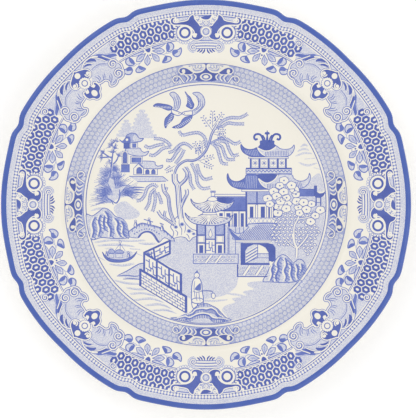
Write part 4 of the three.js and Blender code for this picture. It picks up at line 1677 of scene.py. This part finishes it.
def draw_pines(scene):
    """The pines at the left edge of the garden."""
    scene.level = 0
    shade = [(-69, 23), (-63, 24), (-57, 22), (-55, 15), (-47, 11), (-50, 6), (-57, 4), (-62, 1.5),
             (-66, 6), (-72, 8), (-68, 13)]
    scene.fill(shade, TONE_INK)
    scene.level = 1
    bursts = (((-61.5, 1), 15.5, 155, 62), ((-60, 6), 14, 150, 70), ((-64, 13), 9.5, 130, 110),
              ((-57.5, 6), 16, 14, 52), ((-59, 10), 13, 55, 80), ((-58, 15), 9, 95, 110),
              ((-62, 19), 9, 140, 110), ((-55, 8), 12, 350, 44), ((-62, 9), 11, 190, 60),
              ((-61, 22), 6, 30, 100))
    for place, length, turn, spread in bursts:
        draw_needles(scene, place, length, turn, spread, 17, WASH_INK, bare=0.05)
        draw_needles(scene, place, length * 0.92, turn + 3, spread, 14)
    scene.level = 2
    trunks = (((-62.3, 18), (-61.4, 26), (-60.6, 33), (-58.6, 40)), ((-61, 30), (-64.5, 32), (-68.5, 35)),
              ((-60.8, 31), (-65, 30.8), (-69, 30.4)), ((-60.6, 26), (-58, 29), (-56.6, 33)),
              ((-61.5, 3), (-58.3, 1), (-56, 5.5), (-56.5, 10)), ((-64, 4), (-62, 3), (-60.2, 0)))
    for trunk in trunks:
        scene.line(trunk, 0.9, LINE_INK, taper=0.5)
    for place, turn in (((-60.6, 33), 95), ((-60, 36), 60), ((-61.3, 37), 130), ((-66, 33.2), 150),
                        ((-66.6, 30.7), 180), ((-57.4, 31), 60), ((-61.3, 28), 200), ((-60.2, 24), 300),
                        ((-58.8, 40), 80), ((-60, 39), 130)):
        draw_needles(scene, place, 4.2, turn, 110, 9)


# Each fir's top, the half widths of its steps from the top down, and the height of its foot.
FIRS = (((-41.6, 61.8), (1.5, 3.2, 4.4, 5.2, 6.2, 7, 9), 43.2),
        ((-51.8, 55.2), (1.2, 2.6, 3.2, 4.6, 6), 44))


def draw_firs(scene):
    """Two stepped firs, pale with distance, behind the house on the island."""
    scene.level = 0
    for (x, top), widths, base in FIRS:
        step = (top - base) / len(widths)
        for i, width in enumerate(widths):
            high = top - i * step
            scene.box(x - width, high - step, x + width, high, TONE_INK)
            for side in (1, -1):
                scene.box(x + side * width - 0.6, high - step * 0.6, x + side * width + 0.6,
                          high - 0.2, TONE_INK)


def draw_rock(scene, outline, folds):
    """A rock with wavy folds down its face, each dark on one side and pale on the other."""
    scene.level = 2
    scene.shape(outline, TONE_INK, 0.55)
    for fold in folds:
        scene.level = 3
        scene.line(moved(fold, 1.1, 0), 3.3, WASH_INK, taper=0.5)
        scene.level = 4
        scene.line(moved(fold, -1.3, -0.3), 1.1, CREAM_INK, taper=0.7)
        scene.line(fold, 1.35, LINE_INK, taper=0.6)
        path = smooth(fold)
        for x, y in path[1::2]:
            scene.straight([(x, y), (x + 2.4, y - 1.7)], 0.5, LINE_INK)


def draw_rocks(scene):
    """The rock at the water's edge, the one beside the steps, and the mound at the bottom."""
    left = [(-78, -7), (-74, -7.4), (-70, -4.8), (-66.3, -2.2), (-62, -4.3), (-59, -7.5), (-55, -9),
            (-52.3, -11.2), (-51, -15), (-50, -20), (-51, -21.7), (-60, -22), (-68, -21.4), (-75, -22)]
    folds = (((-65.8, -4), (-63.4, -8), (-63.8, -12), (-61.8, -16), (-62.2, -21)),
             ((-59.5, -8.5), (-57, -12), (-57.6, -16), (-55.4, -21)),
             ((-55, -10.5), (-53.4, -14), (-53.8, -18), (-52.4, -21)),
             ((-68.4, -6.5), (-69.6, -11), (-68.6, -15.5), (-70, -21)),
             ((-72, -8), (-73.6, -12.5), (-72.8, -17), (-74, -21.5)),
             ((-65.8, -7), (-66.4, -12), (-65.6, -17)))
    draw_rock(scene, left, folds)
    right = [(37, -49.8), (39.6, -45), (41.4, -41), (43.5, -38.5), (46.5, -34.5), (49.5, -32.6),
             (52, -33.2), (54.5, -35.4), (56.5, -37.6), (58, -37), (60, -35.5), (62.5, -36),
             (64.4, -38.5), (64.1, -42), (64, -44), (62, -46), (60.4, -49), (56, -50.4), (48, -50.6),
             (42, -50.2)]
    folds = (((48.6, -34), (46.6, -38), (47.2, -42), (45.6, -46), (45.9, -50)),
             ((44.3, -38.6), (42.9, -42), (43.4, -45.5), (41.8, -49.6)),
             ((51.4, -34.5), (52.6, -39), (51.2, -43), (52.4, -46.5), (51.4, -50)),
             ((54.4, -37), (56, -41), (55.4, -45), (56.8, -49.6)),
             ((58.6, -38.5), (60, -42.2), (59.4, -45.5), (60.2, -48.6)),
             ((62, -38.3), (62.8, -41), (62, -44)))
    draw_rock(scene, right, folds)
    draw_mound(scene)


def draw_mound(scene):
    """The low rock at the bottom: a pale crest, a ledge and a hatched face."""
    mound = [(-23, -73.8), (-18, -73.2), (-14.5, -71.6), (-10.5, -70.4), (-7.5, -67.2), (-4, -65),
             (0, -64.2), (4, -65.8), (7.4, -67.6), (9.6, -70), (13, -73.4), (16.4, -75.2), (8, -76.9),
             (0, -77.2), (-8, -76.9), (-16, -75.5)]
    crest = [(-12.4, -72.2), (-9, -71.2), (-6.6, -69), (-2.6, -68.2), (0.4, -68.6), (3.4, -67.9),
             (6.4, -69.6), (8.2, -72), (11.4, -74)]
    ledge = [(-19, -74.4), (-14, -73.4), (-10.6, -74.2), (-6.4, -72.2), (-2, -71.4), (2, -72.2),
             (4.6, -74.2), (9, -74.6), (14, -75.2)]
    scene.level = 2
    scene.shape(mound, TONE_INK, 0.5)
    for ridge, drop in ((crest, 2.7), (ledge, 2.4)):
        path = smooth(ridge)
        scene.level = 3
        scene.line(path, 1.0, LINE_INK, curve=False, taper=0.6)
        for x, y in path:
            low = max(y - drop, -math.sqrt(SCENE_EDGE ** 2 - x ** 2))
            scene.straight([(x, y), (x + 0.05 * x, low)], 0.5, LINE_INK)
        scene.level = 4
        scene.line(moved(path, 0, 0.95), 0.8, CREAM_INK, curve=False, taper=0.6)
    scene.level = 3
    for x, y in smooth(mound[2:11]):
        scene.straight([(x, y - 0.3), (x * 0.96, y - 2.2)], 0.42, LINE_INK)


def draw_birds(scene):
    """Two birds in flight at the top."""
    scene.level = 1
    dark = (
        [(-34.2, 64), (-32, 65.7), (-28, 65.4), (-24, 64.6), (-21.8, 63), (-24, 61.3), (-27, 62.2),
         (-30, 63.4)],
        [(-22.6, 59.6), (-25, 57.5), (-26.6, 55.5), (-27, 52), (-26.2, 49.8), (-24.9, 52.3), (-22, 55),
         (-21, 57.8)],
        [(-13.6, 73.4), (-11.8, 71.2), (-10.2, 69.8), (-8.8, 67), (-7.8, 64.8), (-9, 62.2), (-11, 63),
         (-12.8, 64.2), (-12, 66.2), (-12.2, 70)],
        [(-9, 57.6), (-13, 57), (-15.2, 55.4), (-17.2, 52.5), (-21.8, 50.2), (-17, 49.8), (-14, 51.4),
         (-10.6, 54.2)],
    )
    pale = (
        [(-20.8, 61), (-20.6, 66), (-21.4, 69), (-23.6, 72), (-21, 73.2), (-18.2, 71), (-16.6, 67.5),
         (-17.2, 63.5), (-19, 61.2)],
        [(-9, 60.8), (-6, 63), (-4.6, 66), (-5.2, 69.5), (-8.6, 72.4), (-5, 73), (-2.2, 71), (-0.8, 67.5),
         (-1.2, 64.4), (-3.8, 61.2), (-7, 58.8), (-9.6, 57.8)],
    )
    for wing in pale:
        scene.shape(wing, TONE_INK, 0.5)
    for wing in dark:
        scene.shape(wing, LINE_INK, 0.5, DEEP_INK)
    feathers = (((-20, 62), (-19.2, 66), (-20.8, 70.4)), ((-18.8, 62.4), (-17.8, 66.6), (-19.4, 71)),
                ((-8, 60.6), (-3.8, 64), (-3.6, 68.8)), ((-7, 59.6), (-2.6, 63.4), (-2.2, 68)),
                ((-6.6, 61.8), (-4.8, 66), (-6.6, 70.8)))
    scene.level = 2
    scene.lines(feathers, 0.45, LINE_INK, taper=0.6)
    for start, count, step in (((-33, 64.3), 11, (0.95, -0.06)), ((-26.2, 51.5), 8, (0.5, 1.0)),
                               ((-12.6, 72), 9, (0.42, -0.98)), ((-20, 50.6), 10, (1.05, 0.62))):
        for i in range(count):
            barb = (start[0] + i * step[0], start[1] + i * step[1])
            end = (barb[0] + step[1] * 1.3 + 0.4, barb[1] - step[0] * 1.3)
            scene.straight([barb, end], 0.4, TONE_INK)
    bodies = ([(-22.4, 61.8), (-19.6, 61), (-17, 60), (-15.8, 59.2), (-16.8, 58.3), (-19, 58),
               (-22, 59.6)],
              [(-9, 60.8), (-11.6, 60.8), (-14, 60.4), (-15.6, 59.4), (-13.8, 58.2), (-11, 58.2),
               (-9, 58.4)])
    for body in bodies:
        scene.shape(body, CREAM_INK, 0.55)
    for eye in ((-17.6, 59.3), (-14, 59.4)):
        scene.disc(eye, 0.35, DEEP_INK, sides=8)


# The middles of the orange tree's blossoms, and its leafy parts as ovals: middle and half sizes.
BLOSSOMS = ((50.7, 15.7), (48, 12.3), (57.6, 9.6), (50.5, 8.4), (58.5, 6.7), (46, 5.4), (40, 4),
            (52.4, 4.5), (59, 2.1), (63.5, 1.5), (68.6, 0.4), (48.5, 2.2), (52.8, 0.4), (41.5, 0.4),
            (47.3, -1.4), (52.2, -2.6), (60, -1.8), (65.3, -3.2), (46.7, -5.4), (60.8, -5.4), (68, -11),
            (74.3, -3.5), (71, -7.2), (55.6, 12.6), (44, 8.6))


CROWNS = ((50.5, -17, 8.2, 10.5), (67, -22, 8.4, 10.5), (58, -7, 15, 5.5))
LEAF_TOP = -5
LEAF_ROWS = 14
LEAF_COLUMNS = 13
LEAF_PITCH = 2.9
LEAF_ROW_PITCH = 2.1
LEAF_LIMIT = 75.5


def draw_orange_leaves(scene):
    """Rows of small pale leaves that fill the crowns, and lean the other way in every second row."""
    for row in range(LEAF_ROWS):
        y = LEAF_TOP - LEAF_ROW_PITCH * row
        for i in range(LEAF_COLUMNS):
            stagger = LEAF_PITCH / 2 if row % 2 else 0
            x = 41.5 + LEAF_PITCH * i + stagger + 0.3 * math.sin(3 * row + i)
            off_crown = min(math.hypot((x - u) / wide, (y - v) / high) for u, v, wide, high in CROWNS)
            if off_crown > 1 or math.hypot(x, y) > LEAF_LIMIT:
                continue
            tilt = 32 if row % 2 else -32
            scene.level = 3
            scene.disc((x, y), 1.45, LINE_INK, 10, 0.64, tilt)
            scene.level = 4
            scene.disc((x, y), 1.05, CREAM_INK, 9, 0.5, tilt)


def draw_blossoms(scene):
    """Round white blossoms with five shallow lobes and a dark eye."""
    for i, place in enumerate(BLOSSOMS):
        scene.level = 6 + i % 2
        size = 3.1 - 0.4 * (i % 3 == 1)
        petals = []
        for k in range(20):
            turn = 2 * math.pi * k / 20
            out = size * (1 + 0.06 * math.cos(5 * turn + i))
            petals.append((place[0] + out * math.cos(turn), place[1] + out * 0.82 * math.sin(turn)))
        scene.shape(petals, CREAM_INK, 0.4, curve=False)
        scene.disc(place, 0.55, LINE_INK, sides=8)


def draw_orange_tree(scene):
    """The orange tree beside the pavilion, with its blossoms and its small leaves."""
    scene.level = 1
    tint = [(38, 2), (40, 9), (46, 14), (52, 18), (60, 13), (68, 6), (77, 2), (77, -6), (74, -16),
            (71, -24), (67, -32), (58, -34), (49, -29), (44, -24), (42, -14), (44, -6)]
    scene.fill(tint, TONE_INK)
    draw_orange_leaves(scene)
    scene.level = 5
    branches = ([(56.2, -19), (57.6, -25), (59, -28.6), (58.8, -34.5)],
                [(66.2, -20.2), (63, -24.4), (59.2, -28.6)],
                [(56.5, 3), (60.6, -4), (59.8, -9), (57.4, -14), (57.2, -21), (58, -27)],
                [(51.6, -22), (54.6, -25.4), (58, -28)], [(70.4, -6.7), (66, -8.4), (60, -9.4)])
    for branch, width in zip(branches, (1.3, 0.9, 0.9, 0.6, 0.6)):
        scene.piped(branch, width, width + 0.7)
    draw_blossoms(scene)


def draw_far_house(scene):
    """The small building behind the orange tree."""
    scene.level = 2
    scene.fill([(60.3, 9.9), (70.4, 9.9), (70.4, 5.3), (60.3, 5.3)], LINE_INK, curve=False)
    scene.box(70.2, 7, 72.2, 12.4, DEEP_INK)
    scene.fill([(70, 7), (71, 5), (74, 4.4), (76.6, 6), (77.6, 8.6), (76, 7.6), (73.6, 7.4),
                (72, 8.4)], DEEP_INK)
    scene.straight([(60.3, 9.9), (70.4, 9.9)], 0.6, DEEP_INK)
    for x in (71.6, 74.6):
        scene.straight([(x, 5), (x, -0.8)], 0.8, DEEP_INK)
    scene.straight([(71, 1.4), (75, 1.4)], 0.5, LINE_INK)


def build_garden():
    """The garden as two pieces: trees and birds, and the orange tree with the house and rocks."""
    scene = Print()
    draw_firs(scene)
    draw_pines(scene)
    draw_birds(scene)
    draw_willow(scene)
    scene.lay("scene_trees", "centre_print")
    scene = Print()
    draw_orange_tree(scene)
    draw_far_house(scene)
    draw_rocks(scene)
    scene.lay("scene_blossom_and_rocks", "centre_print")


build_garden()

# ---------------------------------------------------------------- island house, bridge, boat and fence

def draw_island_house(scene):
    """The house with three small roofs on the island at the upper left."""
    scene.level = 1
    scene.box(-54, 18.5, -29, 30, CREAM_INK)
    roofs = (
        ([(-56.2, 42.2), (-54.6, 41.2), (-52.6, 42.6), (-51.6, 45), (-49, 46.4), (-46, 46.2),
          (-44.5, 44.6), (-43, 43), (-40.6, 43), (-42.5, 41.1), (-46, 40.6), (-50, 40), (-54, 40.2)],
         WASH_INK),
        ([(-51.8, 36.5), (-43.5, 36.8), (-42, 35), (-40, 34), (-37.2, 34.7), (-38.8, 32.2), (-42, 31.6),
          (-46, 31.8), (-49.5, 32.6), (-51.8, 34)], TONE_INK),
        ([(-44, 28), (-34, 28), (-33, 26), (-31, 25), (-28.2, 25.7), (-29.5, 23.5), (-38, 23.4),
          (-41.4, 24.4)], TONE_INK),
    )
    for outline, ink in roofs:
        scene.shape(outline, ink, 0.5)
    scene.level = 2
    scene.fill([(-46.4, 45.4), (-44.6, 44.2), (-43, 42.6), (-41.4, 42.4), (-43.6, 41.4), (-46.6, 41.2),
                (-47.8, 43.4)], TONE_INK)
    scene.fill([(-54, 40.4), (-53.4, 42.4), (-51.4, 44.4), (-49.4, 43.6), (-49.4, 40.2)], LINE_INK)
    scene.level = 3
    scene.disc((-51.4, 42.2), 0.85, CREAM_INK)
    scene.box(-53.6, 36.4, -49.5, 40.2, DEEP_INK)
    scene.box(-48.9, 36.6, -44.4, 40.2, CREAM_INK)
    scene.frame(-48.9, 36.6, -44.4, 40.2, 0.35)
    scene.box(-48, 37, -45.3, 39.8, LINE_INK)
    scene.level = 2
    scene.box(-54.4, 27, -51, 34.6, CREAM_INK)
    scene.frame(-54.6, 26.8, -50.8, 34.8, 0.35)
    scene.box(-49.2, 26.8, -41.4, 31.4, CREAM_INK)
    scene.frame(-49.2, 26.8, -41.4, 31.4, 0.35)
    scene.level = 3
    scene.box(-48.5, 27.3, -42, 30.7, LINE_INK)
    scene.box(-55.2, 21, -49.6, 26, LINE_INK)
    scene.straight([(-55.2, 26), (-49.6, 26)], 0.5, DEEP_INK)
    for left, right, bottom, top in ((-53.9, -51.5, 27.2, 33), (-45.1, -41.7, 20.2, 22.6),
                                     (-39.3, -36.9, 20, 21.6), (-35.4, -33, 20, 21.6)):
        radius = (right - left) / 2
        arch = [(left, bottom), (right, bottom), (right, top)]
        for turn in (0.8, math.pi / 2, 2.34):
            arch.append((left + radius + radius * math.cos(turn), top + radius * math.sin(turn)))
        scene.shape(arch + [(left, top)], LINE_INK, 0.35, DEEP_INK, curve=False)
    gable = [(-46.6, 24), (-43.6, 27.2), (-41, 24.4)]
    scene.straight(gable, 0.5, LINE_INK)
    scene.straight([(-47, 24), (-47, 19.4), (-31.6, 19.4), (-31.6, 23.4)], 0.4, LINE_INK)
    scene.straight([(-40.6, 24), (-40.6, 19.4)], 0.4, LINE_INK)
    ledge = [(-50, 18.4), (-28, 18.2), (-24.6, 15.4), (-31, 14.6), (-44.5, 14.8)]
    scene.fill(ledge, TONE_INK, curve=False)
    scene.straight([(-50, 18.4), (-28, 18.2), (-24.6, 15.4)], 0.5, LINE_INK)
    scene.line([(-44.8, 14.9), (-26, 15.2)], 1.0, LINE_INK, taper=0.5)
    for y, left, right in ((11, -50, -40), (9.4, -49.5, -40), (7.6, -48, -41)):
        scene.line([(left, y), ((left + right) / 2, y + 0.3), (right, y)], 0.8, LINE_INK, taper=0.6)


def draw_small_figure(scene, x, y, size):
    """A small robed figure seen from afar: a head, a robe and its shadow side."""
    robe = [(-1.1, 0), (-0.9, 2), (-0.3, 3.4), (0.4, 3.4), (1, 2), (1.3, 0)]
    scene.shape([(x + u * size, y + v * size) for u, v in robe], CREAM_INK, 0.45)
    scene.line([(x + 0.3 * size, y + 3 * size), (x + 0.7 * size, y + 0.2)], 0.6, LINE_INK)
    scene.disc((x, y + 4.1 * size), 0.8 * size, CREAM_INK)
    scene.ring((x, y + 4.1 * size), 0.8 * size, 0.35, LINE_INK, sides=12)


def draw_bridge(scene):
    """The arched bridge between the island and the garden, with three small figures on it."""
    scene.level = 2
    deck = [(-50.5, -18), (-45.4, -14.4), (-41.8, -12.6), (-37.6, -13.4), (-30, -15.4), (-25.4, -18.6),
            (-20.6, -22.8), (-22.4, -23.6), (-27, -21.6), (-30.4, -24.6), (-32, -23.6), (-34.2, -20.2),
            (-36.4, -18.4), (-39, -18), (-41.6, -19), (-43.6, -21.4), (-46.5, -21.6), (-50, -20.8)]
    scene.shape(deck, TONE_INK, 0.45)
    scene.level = 3
    arch = [(-44.2, -21.4), (-41.9, -18.8), (-39, -17.5), (-36, -17.9), (-33.6, -19.8), (-31.6, -23),
            (-30.2, -24.6)]
    scene.line(arch, 0.9, DEEP_INK)
    rail = [(-50.4, -17.6), (-45.4, -13.8), (-41.8, -12), (-37.6, -12.8), (-30, -14.8), (-25.4, -18),
            (-20.8, -22.2)]
    scene.line(rail, 0.55, LINE_INK)
    posts = smooth(rail)
    for i in range(0, len(posts), 2):
        x, y = posts[i]
        scene.straight([(x, y), (x + 0.3, y - 2)], 0.5, LINE_INK)
    for i in range(11):
        share = i / 10
        place = between((-46.5, -19), (-30.5, -19), share)
        rise = 3.2 * math.sin(math.pi * share)
        scene.disc((place[0], place[1] + rise), 0.55, LINE_INK, 7, 0.8)
    scene.level = 4
    for x, y in ((-45.8, -14.2), (-37, -12.8), (-28.6, -16.8)):
        draw_small_figure(scene, x, y, 0.85)
    scene.line([(-40.4, -9.6), (-37.4, -10.4), (-34.4, -11.4)], 0.6, LINE_INK)
    scene.line([(-30, -12), (-27.6, -13)], 0.6, LINE_INK)


def draw_boat(scene):
    """The covered boat on the water."""
    scene.level = 1
    hull = [(-67.4, -30.8), (-65.3, -33.4), (-62, -35.2), (-56.5, -35.8), (-51, -35), (-47.4, -33),
            (-44.9, -30.4), (-46.6, -33.6), (-50.4, -36.4), (-56.5, -37.6), (-62.4, -37), (-65.8, -34.6)]
    inside = [(-65.3, -33.4), (-62.8, -30.4), (-49.4, -30.2), (-47.4, -33), (-51, -35), (-56.5, -35.8),
              (-62, -35.2)]
    scene.fill(inside, TONE_INK)
    scene.shape(hull, LINE_INK, 0.35, DEEP_INK)
    scene.level = 2
    for left, right, top in ((-63.4, -59.6, -29.2), (-59, -53.8, -29.6)):
        roof = [(left, -31.6), (left + 0.4, top - 0.4), ((left + right) / 2, top + 0.4),
                (right - 0.4, top - 0.4), (right, -31.6)]
        scene.shape(roof, WASH_INK, 0.45)
        scene.box(left + 0.3, -34.6, right - 0.3, -31.5, TONE_INK)
        scene.frame(left + 0.3, -34.6, right - 0.3, -31.5, 0.3)
    scene.straight([(-55.8, -30), (-55.8, -25)], 0.4, LINE_INK)
    scene.straight([(-59.4, -30), (-55.8, -25.4), (-52.6, -30)], 0.3, LINE_INK)
    scene.ring((-55.8, -24.2), 0.8, 0.35, LINE_INK, sides=10)
    draw_small_figure(scene, -50.4, -34, 0.7)
    draw_small_figure(scene, -64.6, -33.2, 0.6)


def draw_shore(scene):
    """The mound on the near shore, beside the brick wall."""
    scene.level = 1
    mound = [(-58, -46.3), (-54, -44.5), (-51, -42.6), (-47, -40.5), (-44, -38.4), (-40.2, -38),
             (-40, -43), (-42, -44.6), (-42.4, -48.8), (-50, -48.6), (-53, -47.6)]
    scene.fill(mound, TONE_INK)
    for points in (((-58, -46.5), (-52, -46), (-46, -46.6), (-42.5, -46)),
                   ((-54, -48.4), (-48, -48.2), (-42.5, -48.6)),
                   ((-57, -45.8), (-51, -42.9), (-44, -38.8), (-40.4, -38.2))):
        scene.line(points, 0.7, LINE_INK, taper=0.5)


def draw_panel_fret(scene, corners):
    """The key pattern in one panel of the fence."""
    for path in KEY_FRET:
        scene.straight(in_panel(corners, path), 0.72, LINE_INK)
    scene.straight(in_panel(corners, ((0.2, 0), (0.2, 0.2), (0, 0.2))), 0.5, LINE_INK)


# The brick wall's corners, anticlockwise from lower left, its courses, and its length in bricks.
BRICK_WALL = ((-42.2, -52.6), (-13.6, -69.8), (-13.6, -60.8), (-42.2, -43.6))
BRICK_COURSES = 5
BRICKS = 8.4


def draw_bricks(scene):
    """The joints between the bricks of the wall, staggered from course to course."""
    bottom_left, bottom_right, top_right, top_left = BRICK_WALL
    for i in range(1, BRICK_COURSES):
        share = i / BRICK_COURSES
        start, end = between(top_left, bottom_left, share), between(top_right, bottom_right, share)
        scene.straight([start, end], 0.42, LINE_INK)
    for i in range(BRICK_COURSES):
        for k in range(int(BRICKS)):
            along = (k + (0.5 if i % 2 else 0.95)) / BRICKS
            joint = [(along, 1 - i / BRICK_COURSES), (along, 1 - (i + 1) / BRICK_COURSES)]
            scene.straight(in_panel(BRICK_WALL, joint), 0.42, LINE_INK)


def draw_fence(scene):
    """The latticed fence that crosses the foreground, on its brick wall."""
    back = [(-40.5, -31.5), (-23.4, -23.4), (-23.4, -31.5), (-32.4, -36)]
    front = [(-40, -32), (-32, -36.5), (-24, -41.5), (-16, -45.6), (-16, -58.7), (-24, -53.6),
             (-32, -48.6), (-40, -43.7)]
    wall = [(-42.4, -42.6), (-13.2, -60.2), (-13.4, -70.2), (-42.4, -52.8)]
    scene.level = 3
    for ground in (back, front, wall):
        scene.fill(ground, CREAM_INK, curve=False)
    scene.level = 4
    fret_panels = ([(-39.2, -43.2), (-32.6, -47.5), (-32.6, -37), (-39.2, -33)],
                   [(-31.3, -48.2), (-24.6, -52.4), (-24.6, -41.8), (-31.3, -37.6)],
                   [(-23.4, -53.3), (-17, -57.4), (-17, -46), (-23.4, -42.4)],
                   [(-38.8, -32), (-34.4, -34.6), (-34.2, -29.4), (-38.6, -31.4)],
                   [(-33, -35.2), (-24.2, -31), (-24.2, -24.8), (-33, -29)])
    for panel in fret_panels:
        draw_panel_fret(scene, panel)
    draw_bricks(scene)
    bars = ((((-40.6, -31.4), (-23, -23.2)), 1.3), (((-23.5, -23), (-23.5, -31.8)), 1.3),
            (((-23, -31.5), (-32.4, -35.9)), 1.2), (((-34, -29), (-33, -36.4)), 1.1),
            (((-40.2, -31.6), (-32, -36.4), (-24, -41.4), (-15.8, -45.6)), 1.3),
            (((-42.8, -42.2), (-32, -48.6), (-24, -53.5), (-12.6, -60)), 1.5),
            (((-40.2, -31.2), (-40.2, -44)), 1.3), (((-32, -36.4), (-32, -48.6)), 1.3),
            (((-24, -41.4), (-24, -53.6)), 1.2), (((-16.3, -45.4), (-16.3, -58.8)), 1.6),
            (((-13, -59.6), (-13, -70.4)), 1.7), (((-42.7, -41.6), (-42.7, -53)), 1.5),
            (((-42.6, -52.8), (-13.2, -70.3)), 0.7))
    for points, width in bars:
        scene.straight(points, width, DEEP_INK)


def draw_gardener(scene):
    """The robed figure in the foreground, in plain generic dress, with a lantern on a rod."""
    scene.level = 2
    robe = [(-7.6, -48), (-4.4, -48), (-2.8, -51.4), (-2.4, -56.4), (-2, -63.4), (-8.8, -63.6),
            (-9.4, -57.4), (-9, -51.4)]
    scene.shape(robe, CREAM_INK, 0.6)
    skirt = [(-8.8, -61.4), (-2.2, -61.4), (-2, -66.8), (-4.6, -67.2), (-5.4, -64.4), (-6.4, -67.2),
             (-8.8, -66.8)]
    scene.shape(skirt, CREAM_INK, 0.5)
    scene.level = 3
    scene.fill([(-7.4, -55), (-4.4, -51.4), (-3.4, -51.6), (-3.6, -55.8)], LINE_INK)
    for fold in (((-7.2, -49.4), (-7.8, -54.4), (-7, -61.4)), ((-4.6, -56.4), (-4.4, -59.4), (-3.8, -63)),
                 ((-6, -57), (-6.2, -60), (-5.8, -62.8)), ((-8.6, -56.2), (-6, -57), (-2.6, -56.2))):
        scene.line(fold, 0.45, LINE_INK, taper=0.4)
    scene.line([(-3.4, -56.2), (0.6, -56), (4.2, -56.4)], 0.6, DEEP_INK)
    scene.straight([(4.2, -56.4), (4.6, -57.8)], 0.4, LINE_INK)
    scene.shape([(3.8, -57.8), (5.6, -57.8), (6, -60), (4.8, -61.2), (3.6, -60)], CREAM_INK, 0.45)
    scene.disc((-6, -46), 1.75, CREAM_INK, sides=16)
    scene.ring((-6, -46), 1.75, 0.45, LINE_INK, sides=18)
    scene.fill([(-7.6, -45), (-6.8, -43.8), (-5.4, -43.7), (-4.4, -44.9), (-6, -44.5)], LINE_INK)
    scene.disc((-5.8, -43.4), 0.6, LINE_INK, sides=10)
    for eye in (-6.6, -5.4):
        scene.disc((eye, -46), 0.17, DEEP_INK, sides=6)
    scene.line([(-6.4, -46.9), (-6, -47), (-5.6, -46.9)], 0.16, DEEP_INK)


def build_foreground():
    """The left side and the foreground as one piece."""
    scene = Print()
    draw_island_house(scene)
    draw_bridge(scene)
    draw_boat(scene)
    draw_shore(scene)
    draw_fence(scene)
    draw_gardener(scene)
    scene.lay("scene_foreground", "centre_print")


build_foreground()

# ---------------------------------------------------------------- stage, light and camera

# The picture's width, and the plate's across the axes, in the same unit.
PHOTO_WIDTH = 416
PHOTO_PLATE_WIDTH = 410.6

# How far the middle of the picture lies to the right of the plate's axis and below it.
VIEW_RIGHT = 1.3
VIEW_DOWN = 2.85

LENS = 400
SENSOR_WIDTH = 36
CLIP_END = 20
FLOOR_REACH = 3000
FLOOR_GLOW = 0.13
WORLD_LIGHT = 0.89

# Each lamp's place and width in metres, and its power in watts.
LAMPS = {"key": ((-0.9, 1.1, 1.6), 1.6, 5), "fill": ((1.1, -0.7, 1.4), 1.6, 4)}


def build_stage():
    """The white studio floor under the plate."""
    nodes = Nodes("studio_floor", roughness=0.9)
    nodes.colour(nodes.mix(nodes.noise(0.01), srgb(250, 250, 250), srgb(246, 246, 247)))
    nodes.shader.inputs["Emission Color"].default_value = WHITE
    nodes.shader.inputs["Emission Strength"].default_value = FLOOR_GLOW
    verts = [(x * FLOOR_REACH, y * FLOOR_REACH, 0) for x, y in ((-1, -1), (1, -1), (1, 1), (-1, 1))]
    mesh = bpy.data.meshes.new("floor")
    mesh.from_pydata([[c * MM for c in v] for v in verts], [], [[0, 1, 2, 3]])
    mesh.materials.append(nodes.material)
    floor = bpy.data.objects.new("floor", mesh)
    bpy.context.collection.objects.link(floor)


def add_light(name, place, size, power):
    """A square lamp that shines at the plate."""
    light = bpy.data.lights.new(name, "AREA")
    light.shape = "SQUARE"
    light.size = size
    light.energy = power
    lamp = bpy.data.objects.new(name, light)
    lamp.location = place
    lamp.rotation_euler = (-Vector(place)).to_track_quat("-Z", "Y").to_euler()
    bpy.context.collection.objects.link(lamp)


def build_light():
    """Even white light from all round, with two soft lamps."""
    world = bpy.data.worlds.new("studio")
    world.use_nodes = True
    background = world.node_tree.nodes["Background"]
    background.inputs["Color"].default_value = WHITE
    background.inputs["Strength"].default_value = WORLD_LIGHT
    bpy.context.scene.world = world
    for name, (place, size, power) in LAMPS.items():
        add_light(name, place, size, power)


def build_camera():
    """A long lens straight above, far enough off that the rim and the well are seen at one scale."""
    camera = bpy.data.cameras.new("camera")
    camera.lens = LENS
    camera.sensor_width = SENSOR_WIDTH
    camera.sensor_fit = "HORIZONTAL"
    camera.clip_end = CLIP_END
    eye = bpy.data.objects.new("camera", camera)
    view_width = 2 * AXIS_RADIUS * MM * PHOTO_WIDTH / PHOTO_PLATE_WIDTH
    distance = view_width * camera.lens / camera.sensor_width
    eye.location = (VIEW_RIGHT * MM, -VIEW_DOWN * MM, distance + PLATE_TOP * MM)
    bpy.context.collection.objects.link(eye)
    bpy.context.scene.camera = eye


build_stage()
build_light()
build_camera()
bpy.context.scene.view_settings.view_transform = "Standard"
